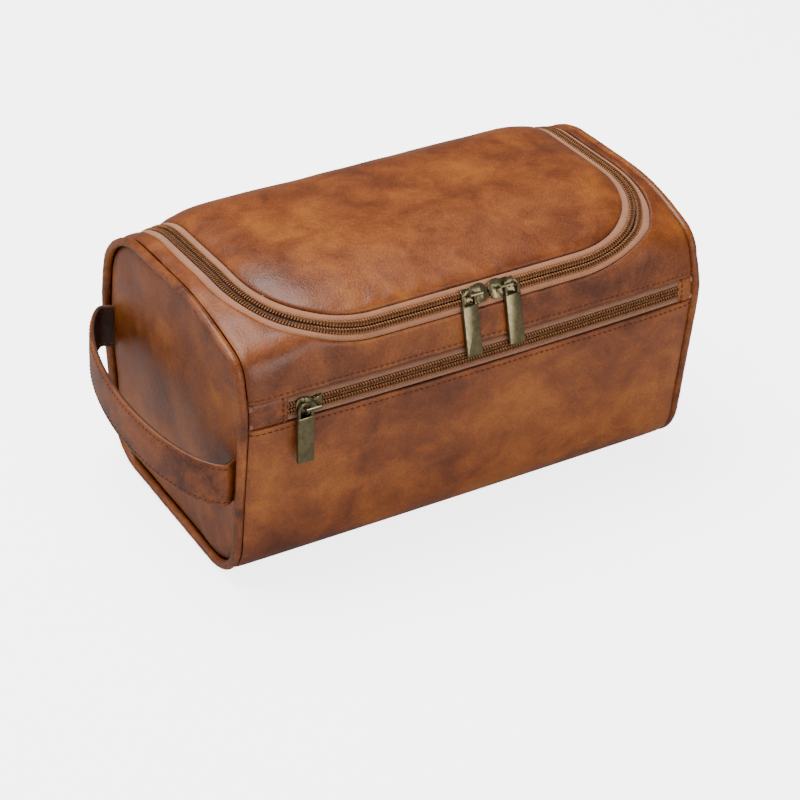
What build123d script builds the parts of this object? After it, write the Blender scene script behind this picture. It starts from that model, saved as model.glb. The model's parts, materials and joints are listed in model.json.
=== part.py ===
from build123d import *
import os
from math import cos, radians, sin

# A soft toiletry bag: a padded leather wrap with piped ends, a lid that a U-shaped zip closes,
# a flat front pocket with its own zip, and a strap handle across the left end.
# X runs along the bag (the handle is at -X), the pocket faces -Y, and Z is up.
# The origin is the middle of the flat base. Sizes are in millimetres.

# Overall size
bag_length = 270.0       # over the piping of both ends
bag_depth = 165.0        # front to back, before its corners are rounded
bag_height = 155.0       # base to the crown of the lid

# Cross-section: where its corners stand, measured in from the overall size
front_foot_inset = 12.5
back_foot_inset = 10.5
front_widest_height = 109.0
back_widest_height = 88.0
front_lean = 6.5
front_drop = 11.5
crown_from_front = 52.5
back_lean = 12.5
back_drop = 5.0

# Cross-section: how its corners are rounded
foot_radius = 30.0
front_bulge_radius = 60.0
zip_corner_radius = 16.0
crown_radius = 150.0
back_top_radius = 48.0
back_bulge_radius = 100.0

# Layers of the wall, from the outside in
leather = 1.8
filler = 1.1             # room for the base board, the pocket pouch and the tapes
foam = 1.9
lid_foam = 1.5
lining = 0.6
layer_gap = 0.1

# Panels
piping_radius = 2.6
base_half_depth = 40.0
seam_gap = 0.1
hinge_angle = 14.0       # of the lid's rear seam, round the back top corner
hinge_gap = 0.4
board_margin = 5.0

# Main zip
zip_tilt = 35.0          # of the way the front run faces, above level
zip_half_length = 116.0  # from the bag's middle to the chain on each end run
zip_corner_length = 57.0
zip_corner_rise = 45.0
slot_half = 0.9          # half the open line between the two rows of coil
coil_half = 3.2
coil_depth = 0.3
coil_height = 2.0
tape_depth = 2.4
tape_thickness = 0.6
tape_half = 11.0
leather_edge = 7.0       # from the chain's middle to each leather edge
mouth_edge = 9.5         # from the chain's middle to the edge of foam and lining

# Front pocket
pocket_half_gap = 7.3
pocket_left_tab = 20.5
pocket_right_tab = 9.8
pouch_half_length = 110.0
pouch_bottom = 30.0
pouch_drop = 12.0
tab_sink = 0.3
slider_room = 6.2        # half height of the slot in the foam behind the pocket zip

# Zip sliders
slider_length = 14.5
wing_half = 5.0
waist_half = 3.7
tail_half = 4.3
wing_from_nose = 4.4
waist_from_nose = 8.6
plate_low = 0.1
plate_thickness = 1.2
flange_inner = 3.6
flange_outer = 4.3
flange_low = -1.4
sole_top = -3.9
sole_thickness = 1.0
sole_half = 3.6
post_half = 0.5
post_length = 4.0
bridge_width = 1.4
bridge_leg = 1.4
bridge_span = 6.0
bridge_low = 5.0
bridge_bar = 1.2
leg_from_tail = 2.6
leg_from_nose = 4.4
post_from_nose = 1.4
bridge_fillet = 1.1

# Pullers
hoop_hole_width = 5.6
hoop_hole_height = 6.4
hoop_wire = 1.5
hoop_thickness = 1.3
hoop_over_pivot = 1.5
tab_width = 9.0
tab_length = 26.5
tab_thickness = 2.2
tab_bevel = 0.4
tab_corner = 0.7
hoop_fillet = 4.2
hole_fillet = 2.7
pivot_high = 3.6         # on the main sliders, above the bag's surface
pivot_low = 3.1          # on the pocket slider, whose puller passes under the other two
main_hang = 15.0         # lean of a main puller at rest, from plumb

# Where the sliders rest
sliders_meet = 5.5
nose_gap = 1.0
pocket_nose_gap = 3.2

# Side handle
strap_width = 26.0
strap_layer = 1.4
strap_bow = 30.0
strap_swell = 5.0        # how far the bow spreads past its sewn ends
strap_height = 72.5      # of its middle
strap_tilt = 4.4         # its rear end stands higher
strap_seat_gap = 0.2
strap_end_reach = 0.1
strap_clear = 0.3        # outside the piping, where the sewn ends stop
strap_flex_gap = 4.6     # the stretch that bends, between a sewn end and the strap's rigid middle

# Trim over the ends of the zip tapes, behind
cap_length = 22.0
cap_height = 14.0
cap_thickness = 1.2
cap_below_hinge = 1.6
cap_from_end = 2.0

# Values that follow from the sizes above
front = -bag_depth / 2
back = bag_depth / 2
far = 2 * bag_length
wrap_half = bag_length / 2 - 2 * piping_radius - seam_gap
filler_depth = leather + layer_gap
foam_depth = filler_depth + filler + 2 * layer_gap
lining_depth = foam_depth + foam + layer_gap
wall_depth = lining_depth + lining
plate_top = plate_low + plate_thickness


def body_section(inset):
    """The bag's cross-section as a flat sketch in (Y, Z), drawn in by inset, or out if negative."""
    with BuildSketch(Plane.XY, mode=Mode.PRIVATE) as drawn:
        with BuildLine():
            FilletPolyline(
                (front + front_foot_inset, 0),
                (front, front_widest_height),
                (front + front_lean, bag_height - front_drop),
                (front + crown_from_front, bag_height),
                (back - back_lean, bag_height - back_drop),
                (back, back_widest_height),
                (back - back_foot_inset, 0),
                radius=[
                    foot_radius,
                    front_bulge_radius,
                    zip_corner_radius,
                    crown_radius,
                    back_top_radius,
                    back_bulge_radius,
                    foot_radius,
                ],
                close=True,
            )
        make_face()
        if inset != 0:
            offset(amount=-inset)
    return drawn.sketch_local


def corner_arc(radius):
    """The rounded corner of the cross-section that has this radius."""
    arcs = body_section(0).edges().filter_by(GeomType.CIRCLE)
    return arcs.sort_by(lambda arc: abs(arc.radius - radius))[0]


def direction(angle):
    """A unit vector in (Y, Z), turned from +Y towards +Z."""
    return Vector(cos(radians(angle)), sin(radians(angle)))


# The main zip's front run lies on the front top corner
zip_corner = corner_arc(zip_corner_radius)
zip_out = direction(180 - zip_tilt)
zip_point = zip_corner.arc_center + zip_out * zip_corner_radius
zip_plane = Plane(
    origin=(0, zip_point.X, zip_point.Y), x_dir=(1, 0, 0), z_dir=(0, zip_out.X, zip_out.Y)
)

# The pocket zip lies on the front's widest line
pocket_corner = corner_arc(front_bulge_radius)
pocket_point = pocket_corner.position_at(0.5)
pocket_out = (pocket_point - pocket_corner.arc_center).normalized()
pocket_plane = Plane(
    origin=(0, pocket_point.X, pocket_point.Y), x_dir=(1, 0, 0), z_dir=(0, pocket_out.X, pocket_out.Y)
)
pocket_height = pocket_point.Y

# The lid turns about a line on the outer surface of the back top corner
hinge_corner = corner_arc(back_top_radius)
hinge_centre = hinge_corner.arc_center
hinge_ray = direction(hinge_angle)
hinge_point = hinge_centre + hinge_ray * back_top_radius


def region(*points):
    """A flat area of the cross-section, in (Y, Z)."""
    with BuildSketch(Plane.XY, mode=Mode.PRIVATE) as drawn:
        Polygon(*points, align=None)
    return drawn.sketch_local


def above_hinge(gap, front_height):
    """The part of the cross-section over the hinge seam and, in front, over front_height."""
    start = hinge_centre + Vector(0, gap)
    end = start + hinge_ray * far
    return region(
        (-far, front_height),
        (start.X, front_height),
        (start.X, start.Y),
        (end.X, end.Y),
        (end.X, far),
        (-far, far),
    )


lid_side = above_hinge(hinge_gap, hinge_centre.Y)
yoke_side = above_hinge(0, pocket_height + pocket_half_gap)
front_side = region(
    (-far, -far), (-base_half_depth, -far), (-base_half_depth, pocket_height - pocket_half_gap),
    (-far, pocket_height - pocket_half_gap),
)
back_end = hinge_centre + hinge_ray * far
back_side = region(
    (base_half_depth, -far), (far, -far), (far, back_end.Y), (back_end.X, back_end.Y),
    (hinge_centre.X, hinge_centre.Y), (base_half_depth, hinge_centre.Y - back_top_radius),
)
base_side = region(
    (-base_half_depth, -far), (base_half_depth, -far), (base_half_depth, foot_radius),
    (-base_half_depth, foot_radius),
)


def pocket_band(low, high):
    """The stretch of the front wall between two heights over the pocket zip's line."""
    return region(
        (-far, pocket_height + low), (0, pocket_height + low),
        (0, pocket_height + high), (-far, pocket_height + high),
    )


def zip_outline(spread):
    """The area inside the line that runs spread outside the main zip's middle, on the zip plane."""
    half = zip_half_length + spread
    corner_x = zip_corner_length + spread
    corner_y = zip_corner_rise + spread
    with BuildSketch(Plane.XY, mode=Mode.PRIVATE) as drawn:
        with Locations((0, -spread)):
            Rectangle(2 * (half - corner_x), far, align=(Align.CENTER, Align.MIN))
        with Locations((0, corner_y - spread)):
            Rectangle(2 * half, far, align=(Align.CENTER, Align.MIN))
        with Locations((corner_x - half, corner_y - spread), (half - corner_x, corner_y - spread)):
            Ellipse(corner_x, corner_y)
    return drawn.sketch_local


def mouth(spread):
    """The space over the bag's opening, out to the line spread outside the zip's middle."""
    with BuildPart(mode=Mode.PRIVATE) as drawn:
        with BuildSketch(Plane.YZ.offset(-bag_length / 2)):
            add(lid_side)
        extrude(amount=bag_length)
        with BuildSketch(zip_plane):
            add(zip_outline(spread))
        extrude(amount=far, both=True, mode=Mode.INTERSECT)
    return drawn.part


def layer(outer, inner, area):
    """A flat sketch of the wall between two depths, over an area of the cross-section."""
    with BuildSketch(Plane.XY, mode=Mode.PRIVATE) as drawn:
        add(body_section(outer))
        add(body_section(inner), mode=Mode.SUBTRACT)
        add(area, mode=Mode.INTERSECT)
    return drawn.sketch_local


def closed_shell(depth, thickness):
    """A shell that follows the inside of the wall and of both ends."""
    outer_half = wrap_half - (depth - foam_depth)
    inner_half = outer_half - thickness
    with BuildPart(mode=Mode.PRIVATE) as drawn:
        with BuildSketch(Plane.YZ.offset(-outer_half)):
            add(body_section(depth))
        extrude(amount=2 * outer_half)
        with BuildSketch(Plane.YZ.offset(-inner_half)):
            add(body_section(depth + thickness))
        extrude(amount=2 * inner_half, mode=Mode.SUBTRACT)
    return drawn.part


pieces = []


def keep(builder, name):
    """Label a finished piece and put it on the list to be written."""
    builder.part.label = name
    pieces.append(builder.part)


# Leather wrap: one panel each for the front, the surround of the zip, the back and the base
wrap_start = Plane.YZ.offset(-wrap_half)

with BuildPart() as front_panel:
    with BuildSketch(wrap_start):
        add(layer(0, leather, front_side))
    extrude(amount=2 * wrap_half)
keep(front_panel, "front_panel")

with BuildPart() as front_yoke:
    with BuildSketch(wrap_start):
        add(layer(0, leather, yoke_side))
    extrude(amount=2 * wrap_half)
    add(mouth(leather_edge), mode=Mode.SUBTRACT)
keep(front_yoke, "front_yoke")

with BuildPart() as back_panel:
    with BuildSketch(wrap_start):
        add(layer(0, leather, back_side))
    extrude(amount=2 * wrap_half)
keep(back_panel, "back_panel")

with BuildPart() as base_panel:
    with BuildSketch(wrap_start):
        add(layer(0, leather, base_side))
    extrude(amount=2 * wrap_half)
keep(base_panel, "base_panel")

# Ends: a leather panel inside a ring of piping
for side, name in ((-1, "left"), (1, "right")):
    piping_plane = Plane.YZ.offset(side * (bag_length / 2 - piping_radius))
    loop = (piping_plane * body_section(piping_radius)).faces()[0].outer_wire()
    with BuildPart() as piping:
        with BuildSketch(Plane(origin=loop @ 0, z_dir=loop % 0)):
            Circle(piping_radius)
        sweep(path=loop)
    keep(piping, name + "_piping")

    with BuildPart() as end_panel:
        with BuildSketch(Plane.YZ.offset(side * (wrap_half + layer_gap))):
            add(body_section(2 * piping_radius + seam_gap))
        extrude(amount=side * leather)
    keep(end_panel, name + "_end_panel")

# Inside: padding, lining, the stiff base and the flat pouch of the front pocket
with BuildPart() as body_foam:
    add(closed_shell(foam_depth, foam))
    add(mouth(mouth_edge), mode=Mode.SUBTRACT)
    with BuildSketch(Plane.YZ.offset(-wrap_half + layer_gap + foam)):
        add(pocket_band(-slider_room, slider_room))
    extrude(amount=2 * (wrap_half - layer_gap - foam), mode=Mode.SUBTRACT)
keep(body_foam, "body_foam")

with BuildPart() as body_lining:
    add(closed_shell(lining_depth, lining))
    add(mouth(mouth_edge), mode=Mode.SUBTRACT)
keep(body_lining, "body_lining")

with BuildPart() as base_board:
    with BuildSketch(Plane.YZ.offset(board_margin - wrap_half)):
        add(layer(filler_depth, filler_depth + filler, base_side))
    extrude(amount=2 * (wrap_half - board_margin))
keep(base_board, "base_board")

with BuildPart() as pocket_pouch:
    pouch_top = pocket_height - pouch_drop
    with BuildSketch(Plane.YZ.offset(-pouch_half_length)):
        add(
            layer(
                filler_depth,
                filler_depth + filler,
                region((-far, pouch_bottom), (0, pouch_bottom), (0, pouch_top), (-far, pouch_top)),
            )
        )
    extrude(amount=2 * pouch_half_length)
keep(pocket_pouch, "pocket_pouch")

# Lid: leather over foam over lining
lid_layers = (
    ("lid_panel", 0, leather, leather_edge),
    ("lid_foam", foam_depth, foam_depth + lid_foam, tape_half + seam_gap),
    ("lid_lining", foam_depth + lid_foam + layer_gap, foam_depth + lid_foam + layer_gap + lining, mouth_edge),
)
for name, outer, inner, edge in lid_layers:
    with BuildPart() as lid_piece:
        with BuildSketch(wrap_start):
            add(layer(outer, inner, lid_side))
        extrude(amount=2 * wrap_half)
        add(mouth(-edge), mode=Mode.INTERSECT)
    keep(lid_piece, name)

# Main zip: a tape and a row of coil on each side of the open line
zip_layers = (
    ("zip_tape", tape_depth, tape_depth + tape_thickness, tape_half),
    ("zip_coil", coil_depth, coil_depth + coil_height, coil_half),
)
for name, outer, inner, reach in zip_layers:
    with BuildPart() as body_row:
        with BuildSketch(wrap_start):
            add(layer(outer, inner, lid_side))
        extrude(amount=2 * wrap_half)
        add(mouth(min(reach, wrap_half - zip_half_length)), mode=Mode.INTERSECT)
        add(mouth(slot_half), mode=Mode.SUBTRACT)
    keep(body_row, "body_" + name)

    with BuildPart() as lid_row:
        with BuildSketch(wrap_start):
            add(layer(outer, inner, lid_side))
        extrude(amount=2 * wrap_half)
        add(mouth(-slot_half), mode=Mode.INTERSECT)
        add(mouth(-reach), mode=Mode.SUBTRACT)
    keep(lid_row, "lid_" + name)

# Pocket zip: the same two rows, straight along the front, between two leather tabs
coil_start = -wrap_half + pocket_left_tab + layer_gap
coil_end = wrap_half - pocket_right_tab - layer_gap
pocket_layers = (
    ("tape", tape_depth, tape_depth + tape_thickness, tape_half, -wrap_half, wrap_half),
    ("coil", coil_depth, coil_depth + coil_height, coil_half, coil_start, coil_end),
)
for name, outer, inner, reach, low_x, high_x in pocket_layers:
    for row, low, high in (("upper", slot_half, reach), ("lower", -reach, -slot_half)):
        with BuildPart() as pocket_row:
            with BuildSketch(Plane.YZ.offset(low_x)):
                add(layer(outer, inner, pocket_band(low, high)))
            extrude(amount=high_x - low_x)
        keep(pocket_row, "pocket_" + row + "_" + name)

pocket_tabs = (
    ("pocket_left_tab", -wrap_half, pocket_left_tab),
    ("pocket_right_tab", wrap_half - pocket_right_tab, pocket_right_tab),
)
for name, low_x, width in pocket_tabs:
    with BuildPart() as pocket_tab:
        with BuildSketch(Plane.YZ.offset(low_x)):
            add(layer(tab_sink, coil_depth + coil_height, pocket_band(-pocket_half_gap, pocket_half_gap)))
        extrude(amount=width)
    keep(pocket_tab, name)

# Leather caps behind, over the ends of the main zip's tapes
cap_top = hinge_point.Y - cap_below_hinge
cap_area = region((0, cap_top - cap_height), (far, cap_top - cap_height), (far, cap_top), (0, cap_top))
for side, name in ((-1, "left"), (1, "right")):
    with BuildPart() as zip_cap:
        with BuildSketch(Plane.YZ.offset(side * (wrap_half - cap_from_end))):
            add(layer(-cap_thickness, 0, cap_area))
        extrude(amount=-side * cap_length)
        fillet(zip_cap.edges().filter_by(Axis.X).group_by(Axis.Z)[-1], radius=cap_thickness / 4)
    keep(zip_cap, name + "_zip_cap")


def plate_outline():
    """A slider's top plate: round nose at the origin, wings, waist, and a straight tail at -X."""
    with BuildSketch(Plane.XY, mode=Mode.PRIVATE) as drawn:
        with BuildLine():
            Spline(
                (0, 0),
                (-wing_from_nose, wing_half),
                (-waist_from_nose, waist_half),
                (-slider_length, tail_half),
                tangents=[(0, 1), (-2, 1)],
            )
            Polyline((-slider_length, tail_half), (-slider_length, 0), (0, 0))
        make_face()
        mirror(about=Plane.XZ)
    return drawn.sketch_local


def slider_on(surface, nose_x, facing, leg_x):
    """A zip slider whose nose stands at nose_x and points along facing * X, with its bridge."""
    seat = Plane(origin=surface.from_local_coords((nose_x, 0, 0)), x_dir=(facing, 0, 0), z_dir=surface.z_dir)
    side_view = Plane(origin=seat.origin, x_dir=seat.x_dir, z_dir=seat.x_dir.cross(seat.z_dir))
    with BuildPart(mode=Mode.PRIVATE) as drawn:
        with BuildSketch(seat.offset(plate_low)):
            add(plate_outline())
        extrude(amount=plate_thickness)
        # flanges down both sides of the coil
        flange_middle = (flange_inner + flange_outer) / 2
        with BuildSketch(seat.offset(plate_low)):
            with Locations((-slider_length / 2, flange_middle), (-slider_length / 2, -flange_middle)):
                Rectangle(slider_length - wing_from_nose, flange_outer - flange_inner)
        extrude(amount=flange_low - plate_low)
        # post between the rows, and the sole under the tapes
        with BuildSketch(seat.offset(sole_top)):
            with Locations((-post_from_nose, 0)):
                Rectangle(post_length, 2 * post_half, align=(Align.MAX, Align.CENTER))
        extrude(amount=plate_low - sole_top)
        with BuildSketch(seat.offset(sole_top)):
            with Locations((-slider_length / 2, 0)):
                RectangleRounded(slider_length - 2 * post_from_nose, 2 * sole_half, sole_half / 2)
        extrude(amount=-sole_thickness)
        # bridge: two legs and a bar, cut from one arch
        reach = bridge_span + 2 * bridge_leg
        towards = 1 if leg_x < -slider_length / 2 else -1
        arch_x = leg_x + towards * (bridge_span + bridge_leg) / 2
        with BuildSketch(side_view.offset(-bridge_width / 2)) as arch:
            with Locations((arch_x, plate_low + plate_thickness / 2)):
                Rectangle(reach, bridge_low + bridge_bar - plate_low - plate_thickness / 2,
                          align=(Align.CENTER, Align.MIN))
            fillet(arch.vertices().group_by(Axis.Y)[-1], radius=bridge_fillet)
            with Locations((arch_x, plate_low + plate_thickness / 2)):
                Rectangle(bridge_span, bridge_low - plate_low - plate_thickness / 2,
                          align=(Align.CENTER, Align.MIN), mode=Mode.SUBTRACT)
        extrude(amount=bridge_width)
    return drawn


def puller_on(pivot, lean):
    """A puller that hangs from pivot, leaning forward from plumb: a hoop over a thick tab."""
    up = Vector(0, sin(radians(lean)), cos(radians(lean)))
    flat = Plane(origin=pivot, x_dir=(1, 0, 0), z_dir=Vector(1, 0, 0).cross(up))
    hoop_width = hoop_hole_width + 2 * hoop_wire
    shoulder = hoop_over_pivot - hoop_hole_height
    with BuildPart(mode=Mode.PRIVATE) as drawn:
        with BuildSketch(flat.offset(-hoop_thickness / 2)) as hoop:
            with Locations((0, hoop_over_pivot + hoop_wire)):
                Rectangle(hoop_width, hoop_wire + hoop_hole_height, align=(Align.CENTER, Align.MAX))
            fillet(hoop.vertices().group_by(Axis.Y)[-1], radius=hoop_fillet)
        extrude(amount=hoop_thickness)
        with BuildSketch(flat.offset(-tab_thickness / 2)) as tab:
            with Locations((0, shoulder)):
                Rectangle(tab_width, tab_length, align=(Align.CENTER, Align.MAX))
            fillet(tab.vertices().group_by(Axis.Y)[0], radius=tab_corner)
        extrude(amount=tab_thickness)
        with BuildSketch(flat.offset(-tab_thickness / 2)) as hole:
            with Locations((0, hoop_over_pivot)):
                Rectangle(hoop_hole_width, hoop_hole_height, align=(Align.CENTER, Align.MAX))
            fillet(hole.vertices().group_by(Axis.Y)[-1], radius=hole_fillet)
        extrude(amount=tab_thickness, mode=Mode.SUBTRACT)
        tab_rim = drawn.faces().filter_by(lambda face: abs(face.normal_at().dot(flat.z_dir)) > 0.99)
        chamfer(tab_rim.sort_by(Axis(pivot, flat.z_dir))[-1].edges(), length=tab_bevel)
    return drawn


# Sliders and pullers: two on the main zip, nose to nose, and one at the left end of the pocket zip
main_leg = leg_from_tail - slider_length
runners = (
    ("main_left", zip_plane, sliders_meet - nose_gap / 2, 1, main_leg, pivot_high, main_hang),
    ("main_right", zip_plane, sliders_meet + nose_gap / 2, -1, main_leg, pivot_high, main_hang),
    ("pocket", pocket_plane, coil_start + pocket_nose_gap, -1, -leg_from_nose, pivot_low, 0),
)
for name, surface, nose_x, facing, leg_x, pivot_out, lean in runners:
    slider = slider_on(surface, nose_x, facing, leg_x)
    keep(slider, name + "_slider")
    pivot = surface.from_local_coords((nose_x + facing * leg_x, 0, pivot_out))
    keep(puller_on(pivot, lean), name + "_puller")
    print(name, "pivot", pivot)

# Side handle: a bowed strap of two layers; its ends are sewn into the seams inside the left piping
strap_root_x = -wrap_half - layer_gap - leather - strap_end_reach
ends_stop = -bag_length / 2 - strap_clear
middle_starts = ends_stop - strap_flex_gap


def seam_ends(height):
    """The end panel's front and rear seam at a height over the base."""
    with BuildSketch(Plane.XY, mode=Mode.PRIVATE) as strip:
        add(body_section(2 * piping_radius + seam_gap))
        with Locations((0, height)):
            Rectangle(2 * bag_depth, seam_gap, mode=Mode.INTERSECT)
    box = strip.sketch_local.bounding_box()
    return box.min.X, box.max.X


# Each sewn end stands just inside the seam, at the height of its lower corner
strap_rise = bag_depth / 2 * sin(radians(strap_tilt))
front_seam = seam_ends(strap_height - strap_rise - strap_width / 2)[0]
back_seam = seam_ends(strap_height - strap_width / 2)[1]
strap_middle = (front_seam + back_seam) / 2
seat_span = (back_seam - front_seam) / 2 - strap_layer - strap_seat_gap
strap_up = Vector(0, -sin(radians(strap_tilt)), cos(radians(strap_tilt)))
strap_plane = Plane(origin=(0, strap_middle, strap_height), x_dir=(1, 0, 0), z_dir=strap_up)
strap_floor = strap_plane.offset(-strap_width / 2)

for name, inner_offset, outer_offset in (("outer", 0, strap_layer), ("inner", -strap_layer, 0)):
    with BuildPart() as strap:
        with BuildSketch(strap_floor):
            with Locations((strap_root_x, 0)):
                Ellipse(strap_bow + outer_offset, seat_span + strap_swell + outer_offset)
                Ellipse(strap_bow + inner_offset, seat_span + strap_swell + inner_offset, mode=Mode.SUBTRACT)
            with Locations((middle_starts, 0)):
                Rectangle(2 * strap_bow, 2 * bag_depth, align=(Align.MAX, Align.CENTER), mode=Mode.INTERSECT)
        extrude(amount=strap_width)
    keep(strap, "side_handle_" + name)

for name, seat in (("front", -seat_span), ("back", seat_span)):
    with BuildPart() as strap_end:
        with BuildSketch(strap_floor):
            with Locations((strap_root_x, seat)):
                Rectangle(strap_root_x - ends_stop, 2 * strap_layer, align=(Align.MAX, Align.CENTER))
        extrude(amount=strap_width)
    keep(strap_end, "handle_" + name + "_end")
print("handle axis", (middle_starts, strap_middle, strap_height), strap_plane.y_dir)
print("hinge", hinge_point)

print({piece.label: (len(piece.solids()), round(piece.volume)) for piece in pieces})
os.makedirs("parts", exist_ok=True)
for piece in pieces:
    export_step(piece, "parts/" + piece.label + ".step")
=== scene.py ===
"""A zipped leather toiletry bag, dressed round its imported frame.

Sizes are in metres. A place on the bag's wall is given as (x, s, h): x along the bag, s round its
cross-section from the middle of the base by the front, and h out of the wall's surface.
"""

import json
import logging
import math
from dataclasses import dataclass, field
from enum import Enum
from typing import Iterable, Sequence

import bmesh
import bpy
import numpy as np
from mathutils import Matrix, Vector, noise

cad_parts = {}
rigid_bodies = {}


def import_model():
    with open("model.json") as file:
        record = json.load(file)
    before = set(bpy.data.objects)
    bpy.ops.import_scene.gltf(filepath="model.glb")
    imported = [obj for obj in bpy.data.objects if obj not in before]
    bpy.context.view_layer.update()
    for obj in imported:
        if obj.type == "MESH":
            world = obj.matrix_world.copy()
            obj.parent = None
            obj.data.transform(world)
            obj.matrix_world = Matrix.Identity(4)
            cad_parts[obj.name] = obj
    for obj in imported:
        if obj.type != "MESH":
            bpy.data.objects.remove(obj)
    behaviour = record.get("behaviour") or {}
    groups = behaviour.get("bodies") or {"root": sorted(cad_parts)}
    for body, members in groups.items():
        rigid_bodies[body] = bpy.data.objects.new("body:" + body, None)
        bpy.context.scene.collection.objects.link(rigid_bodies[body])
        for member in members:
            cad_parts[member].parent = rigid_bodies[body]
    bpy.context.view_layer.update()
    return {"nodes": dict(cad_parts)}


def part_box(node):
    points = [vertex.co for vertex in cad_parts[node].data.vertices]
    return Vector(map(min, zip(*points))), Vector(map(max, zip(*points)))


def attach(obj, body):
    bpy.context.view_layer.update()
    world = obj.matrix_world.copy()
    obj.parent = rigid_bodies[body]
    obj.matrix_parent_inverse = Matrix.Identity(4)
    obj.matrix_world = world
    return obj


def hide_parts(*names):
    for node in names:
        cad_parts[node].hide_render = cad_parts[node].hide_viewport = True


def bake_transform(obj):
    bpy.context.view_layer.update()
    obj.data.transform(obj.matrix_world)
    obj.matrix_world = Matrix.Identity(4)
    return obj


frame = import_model()
log = logging.getLogger("toiletry_bag")
MM = 0.001
HALF_CLOTH = 0.1297  # half of the length between the two ends' seams


class Body(str, Enum):
    """The CAD bodies that a piece may ride on."""

    BAG = "bag"
    LID = "lid"
    STRAP = "side_handle"


class Side(float, Enum):
    """The two ends of the bag, by the sign of X."""

    LEFT = -1.0
    RIGHT = 1.0


# ------------------------------------------------------------------ finishes


class Graph:
    """A material's node tree, with short calls for its nodes."""

    def __init__(self, name: str) -> None:
        """Starts a material called name with only a Principled shader.

        Args:
            name: The material's name.
        """
        self.material = bpy.data.materials.new(name)
        self.material.use_nodes = True
        self.tree = self.material.node_tree
        self.shader = self.tree.nodes["Principled BSDF"]
        self.place = self.add("ShaderNodeTexCoord").outputs["Object"]

    def add(self, kind: str, **values: object) -> bpy.types.Node:
        """Adds a node of a kind and sets its plain properties.

        Args:
            kind: The node's type name.
            values: Properties of the node.

        Returns:
            The node.
        """
        node = self.tree.nodes.new(kind)
        for key, value in values.items():
            setattr(node, key, value)
        return node

    def join(self, source: bpy.types.NodeSocket, target: bpy.types.NodeSocket) -> None:
        """Links two sockets."""
        self.tree.links.new(source, target)

    def noise(self, scale: float, detail: float = 4.0, rough: float = 0.55, bend: float = 0.0,
              stretch: Sequence[float] = (1, 1, 1)) -> bpy.types.NodeSocket:
        """Adds a noise pattern on the piece's own coordinates.

        Args:
            scale: Waves to the metre.
            detail: Octaves of finer noise.
            rough: Weight of the finer octaves.
            bend: Distortion of the pattern.
            stretch: Scale along X, Y and Z.

        Returns:
            The pattern's value, from 0 to 1.
        """
        mapping = self.add("ShaderNodeMapping")
        mapping.inputs["Scale"].default_value = tuple(stretch)
        self.join(self.place, mapping.inputs["Vector"])
        node = self.add("ShaderNodeTexNoise")
        node.inputs["Scale"].default_value = scale
        node.inputs["Detail"].default_value = detail
        node.inputs["Roughness"].default_value = rough
        node.inputs["Distortion"].default_value = bend
        self.join(mapping.outputs["Vector"], node.inputs["Vector"])
        return node.outputs["Fac"]

    def pebbles(self, scale: float) -> bpy.types.NodeSocket:
        """Adds a grain of rounded pebbles, scale to the metre, and returns its height."""
        node = self.add("ShaderNodeTexVoronoi", feature="SMOOTH_F1")
        node.inputs["Scale"].default_value = scale
        node.inputs["Smoothness"].default_value = 0.6
        self.join(self.place, node.inputs["Vector"])
        return node.outputs["Distance"]

    def blend(self, share: float, first: bpy.types.NodeSocket, second: bpy.types.NodeSocket) -> bpy.types.NodeSocket:
        """Mixes two values, with that share of the second."""
        node = self.add("ShaderNodeMix", data_type="FLOAT")
        node.inputs[0].default_value = share
        self.join(first, node.inputs[2])
        self.join(second, node.inputs[3])
        return node.outputs[0]

    def span(self, value: bpy.types.NodeSocket, low: float, high: float, start: float = 0.3,
             end: float = 0.7) -> bpy.types.NodeSocket:
        """Spreads a pattern's middle range over low to high.

        Args:
            value: The pattern.
            low: What the range's start becomes.
            high: What the range's end becomes.
            start: Start of the range.
            end: End of the range.

        Returns:
            The spread value.
        """
        node = self.add("ShaderNodeMapRange")
        for name, number in (("From Min", start), ("From Max", end), ("To Min", low), ("To Max", high)):
            node.inputs[name].default_value = number
        self.join(value, node.inputs["Value"])
        return node.outputs["Result"]

    def ramp(self, value: bpy.types.NodeSocket, stops: Iterable[tuple[float, Sequence[float]]]) -> bpy.types.NodeSocket:
        """Colours a pattern by stops of (place, colour) and returns the colour."""
        node = self.add("ShaderNodeValToRGB")
        stops = list(stops)
        while len(node.color_ramp.elements) < len(stops):
            node.color_ramp.elements.new(0.5)
        for element, (place, colour) in zip(node.color_ramp.elements, stops):
            element.position = place
            element.color = (*colour, 1)
        self.join(value, node.inputs["Fac"])
        return node.outputs["Color"]

    def darken(self, colour: bpy.types.NodeSocket, value: bpy.types.NodeSocket) -> bpy.types.NodeSocket:
        """Multiplies a colour by a value and returns it."""
        node = self.add("ShaderNodeMix", data_type="RGBA", blend_type="MULTIPLY")
        node.inputs[0].default_value = 1
        self.join(colour, node.inputs[6])
        self.join(value, node.inputs[7])
        return node.outputs[2]

    def relief(self, layers: Iterable[tuple[bpy.types.NodeSocket, float, float]]) -> None:
        """Stacks bumps on the shader, from (pattern, strength, depth in metres) layers."""
        last = None
        for pattern, strength, depth in layers:
            bump = self.add("ShaderNodeBump")
            bump.inputs["Strength"].default_value = strength
            bump.inputs["Distance"].default_value = depth
            self.join(pattern, bump.inputs["Height"])
            if last is not None:
                self.join(last, bump.inputs["Normal"])
            last = bump.outputs["Normal"]
        self.join(last, self.shader.inputs["Normal"])

    def set(self, **values: float) -> None:
        """Sets the shader's own sockets, with _ for a space in a socket's name."""
        for key, value in values.items():
            self.shader.inputs[key.replace("_", " ")].default_value = value


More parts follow.
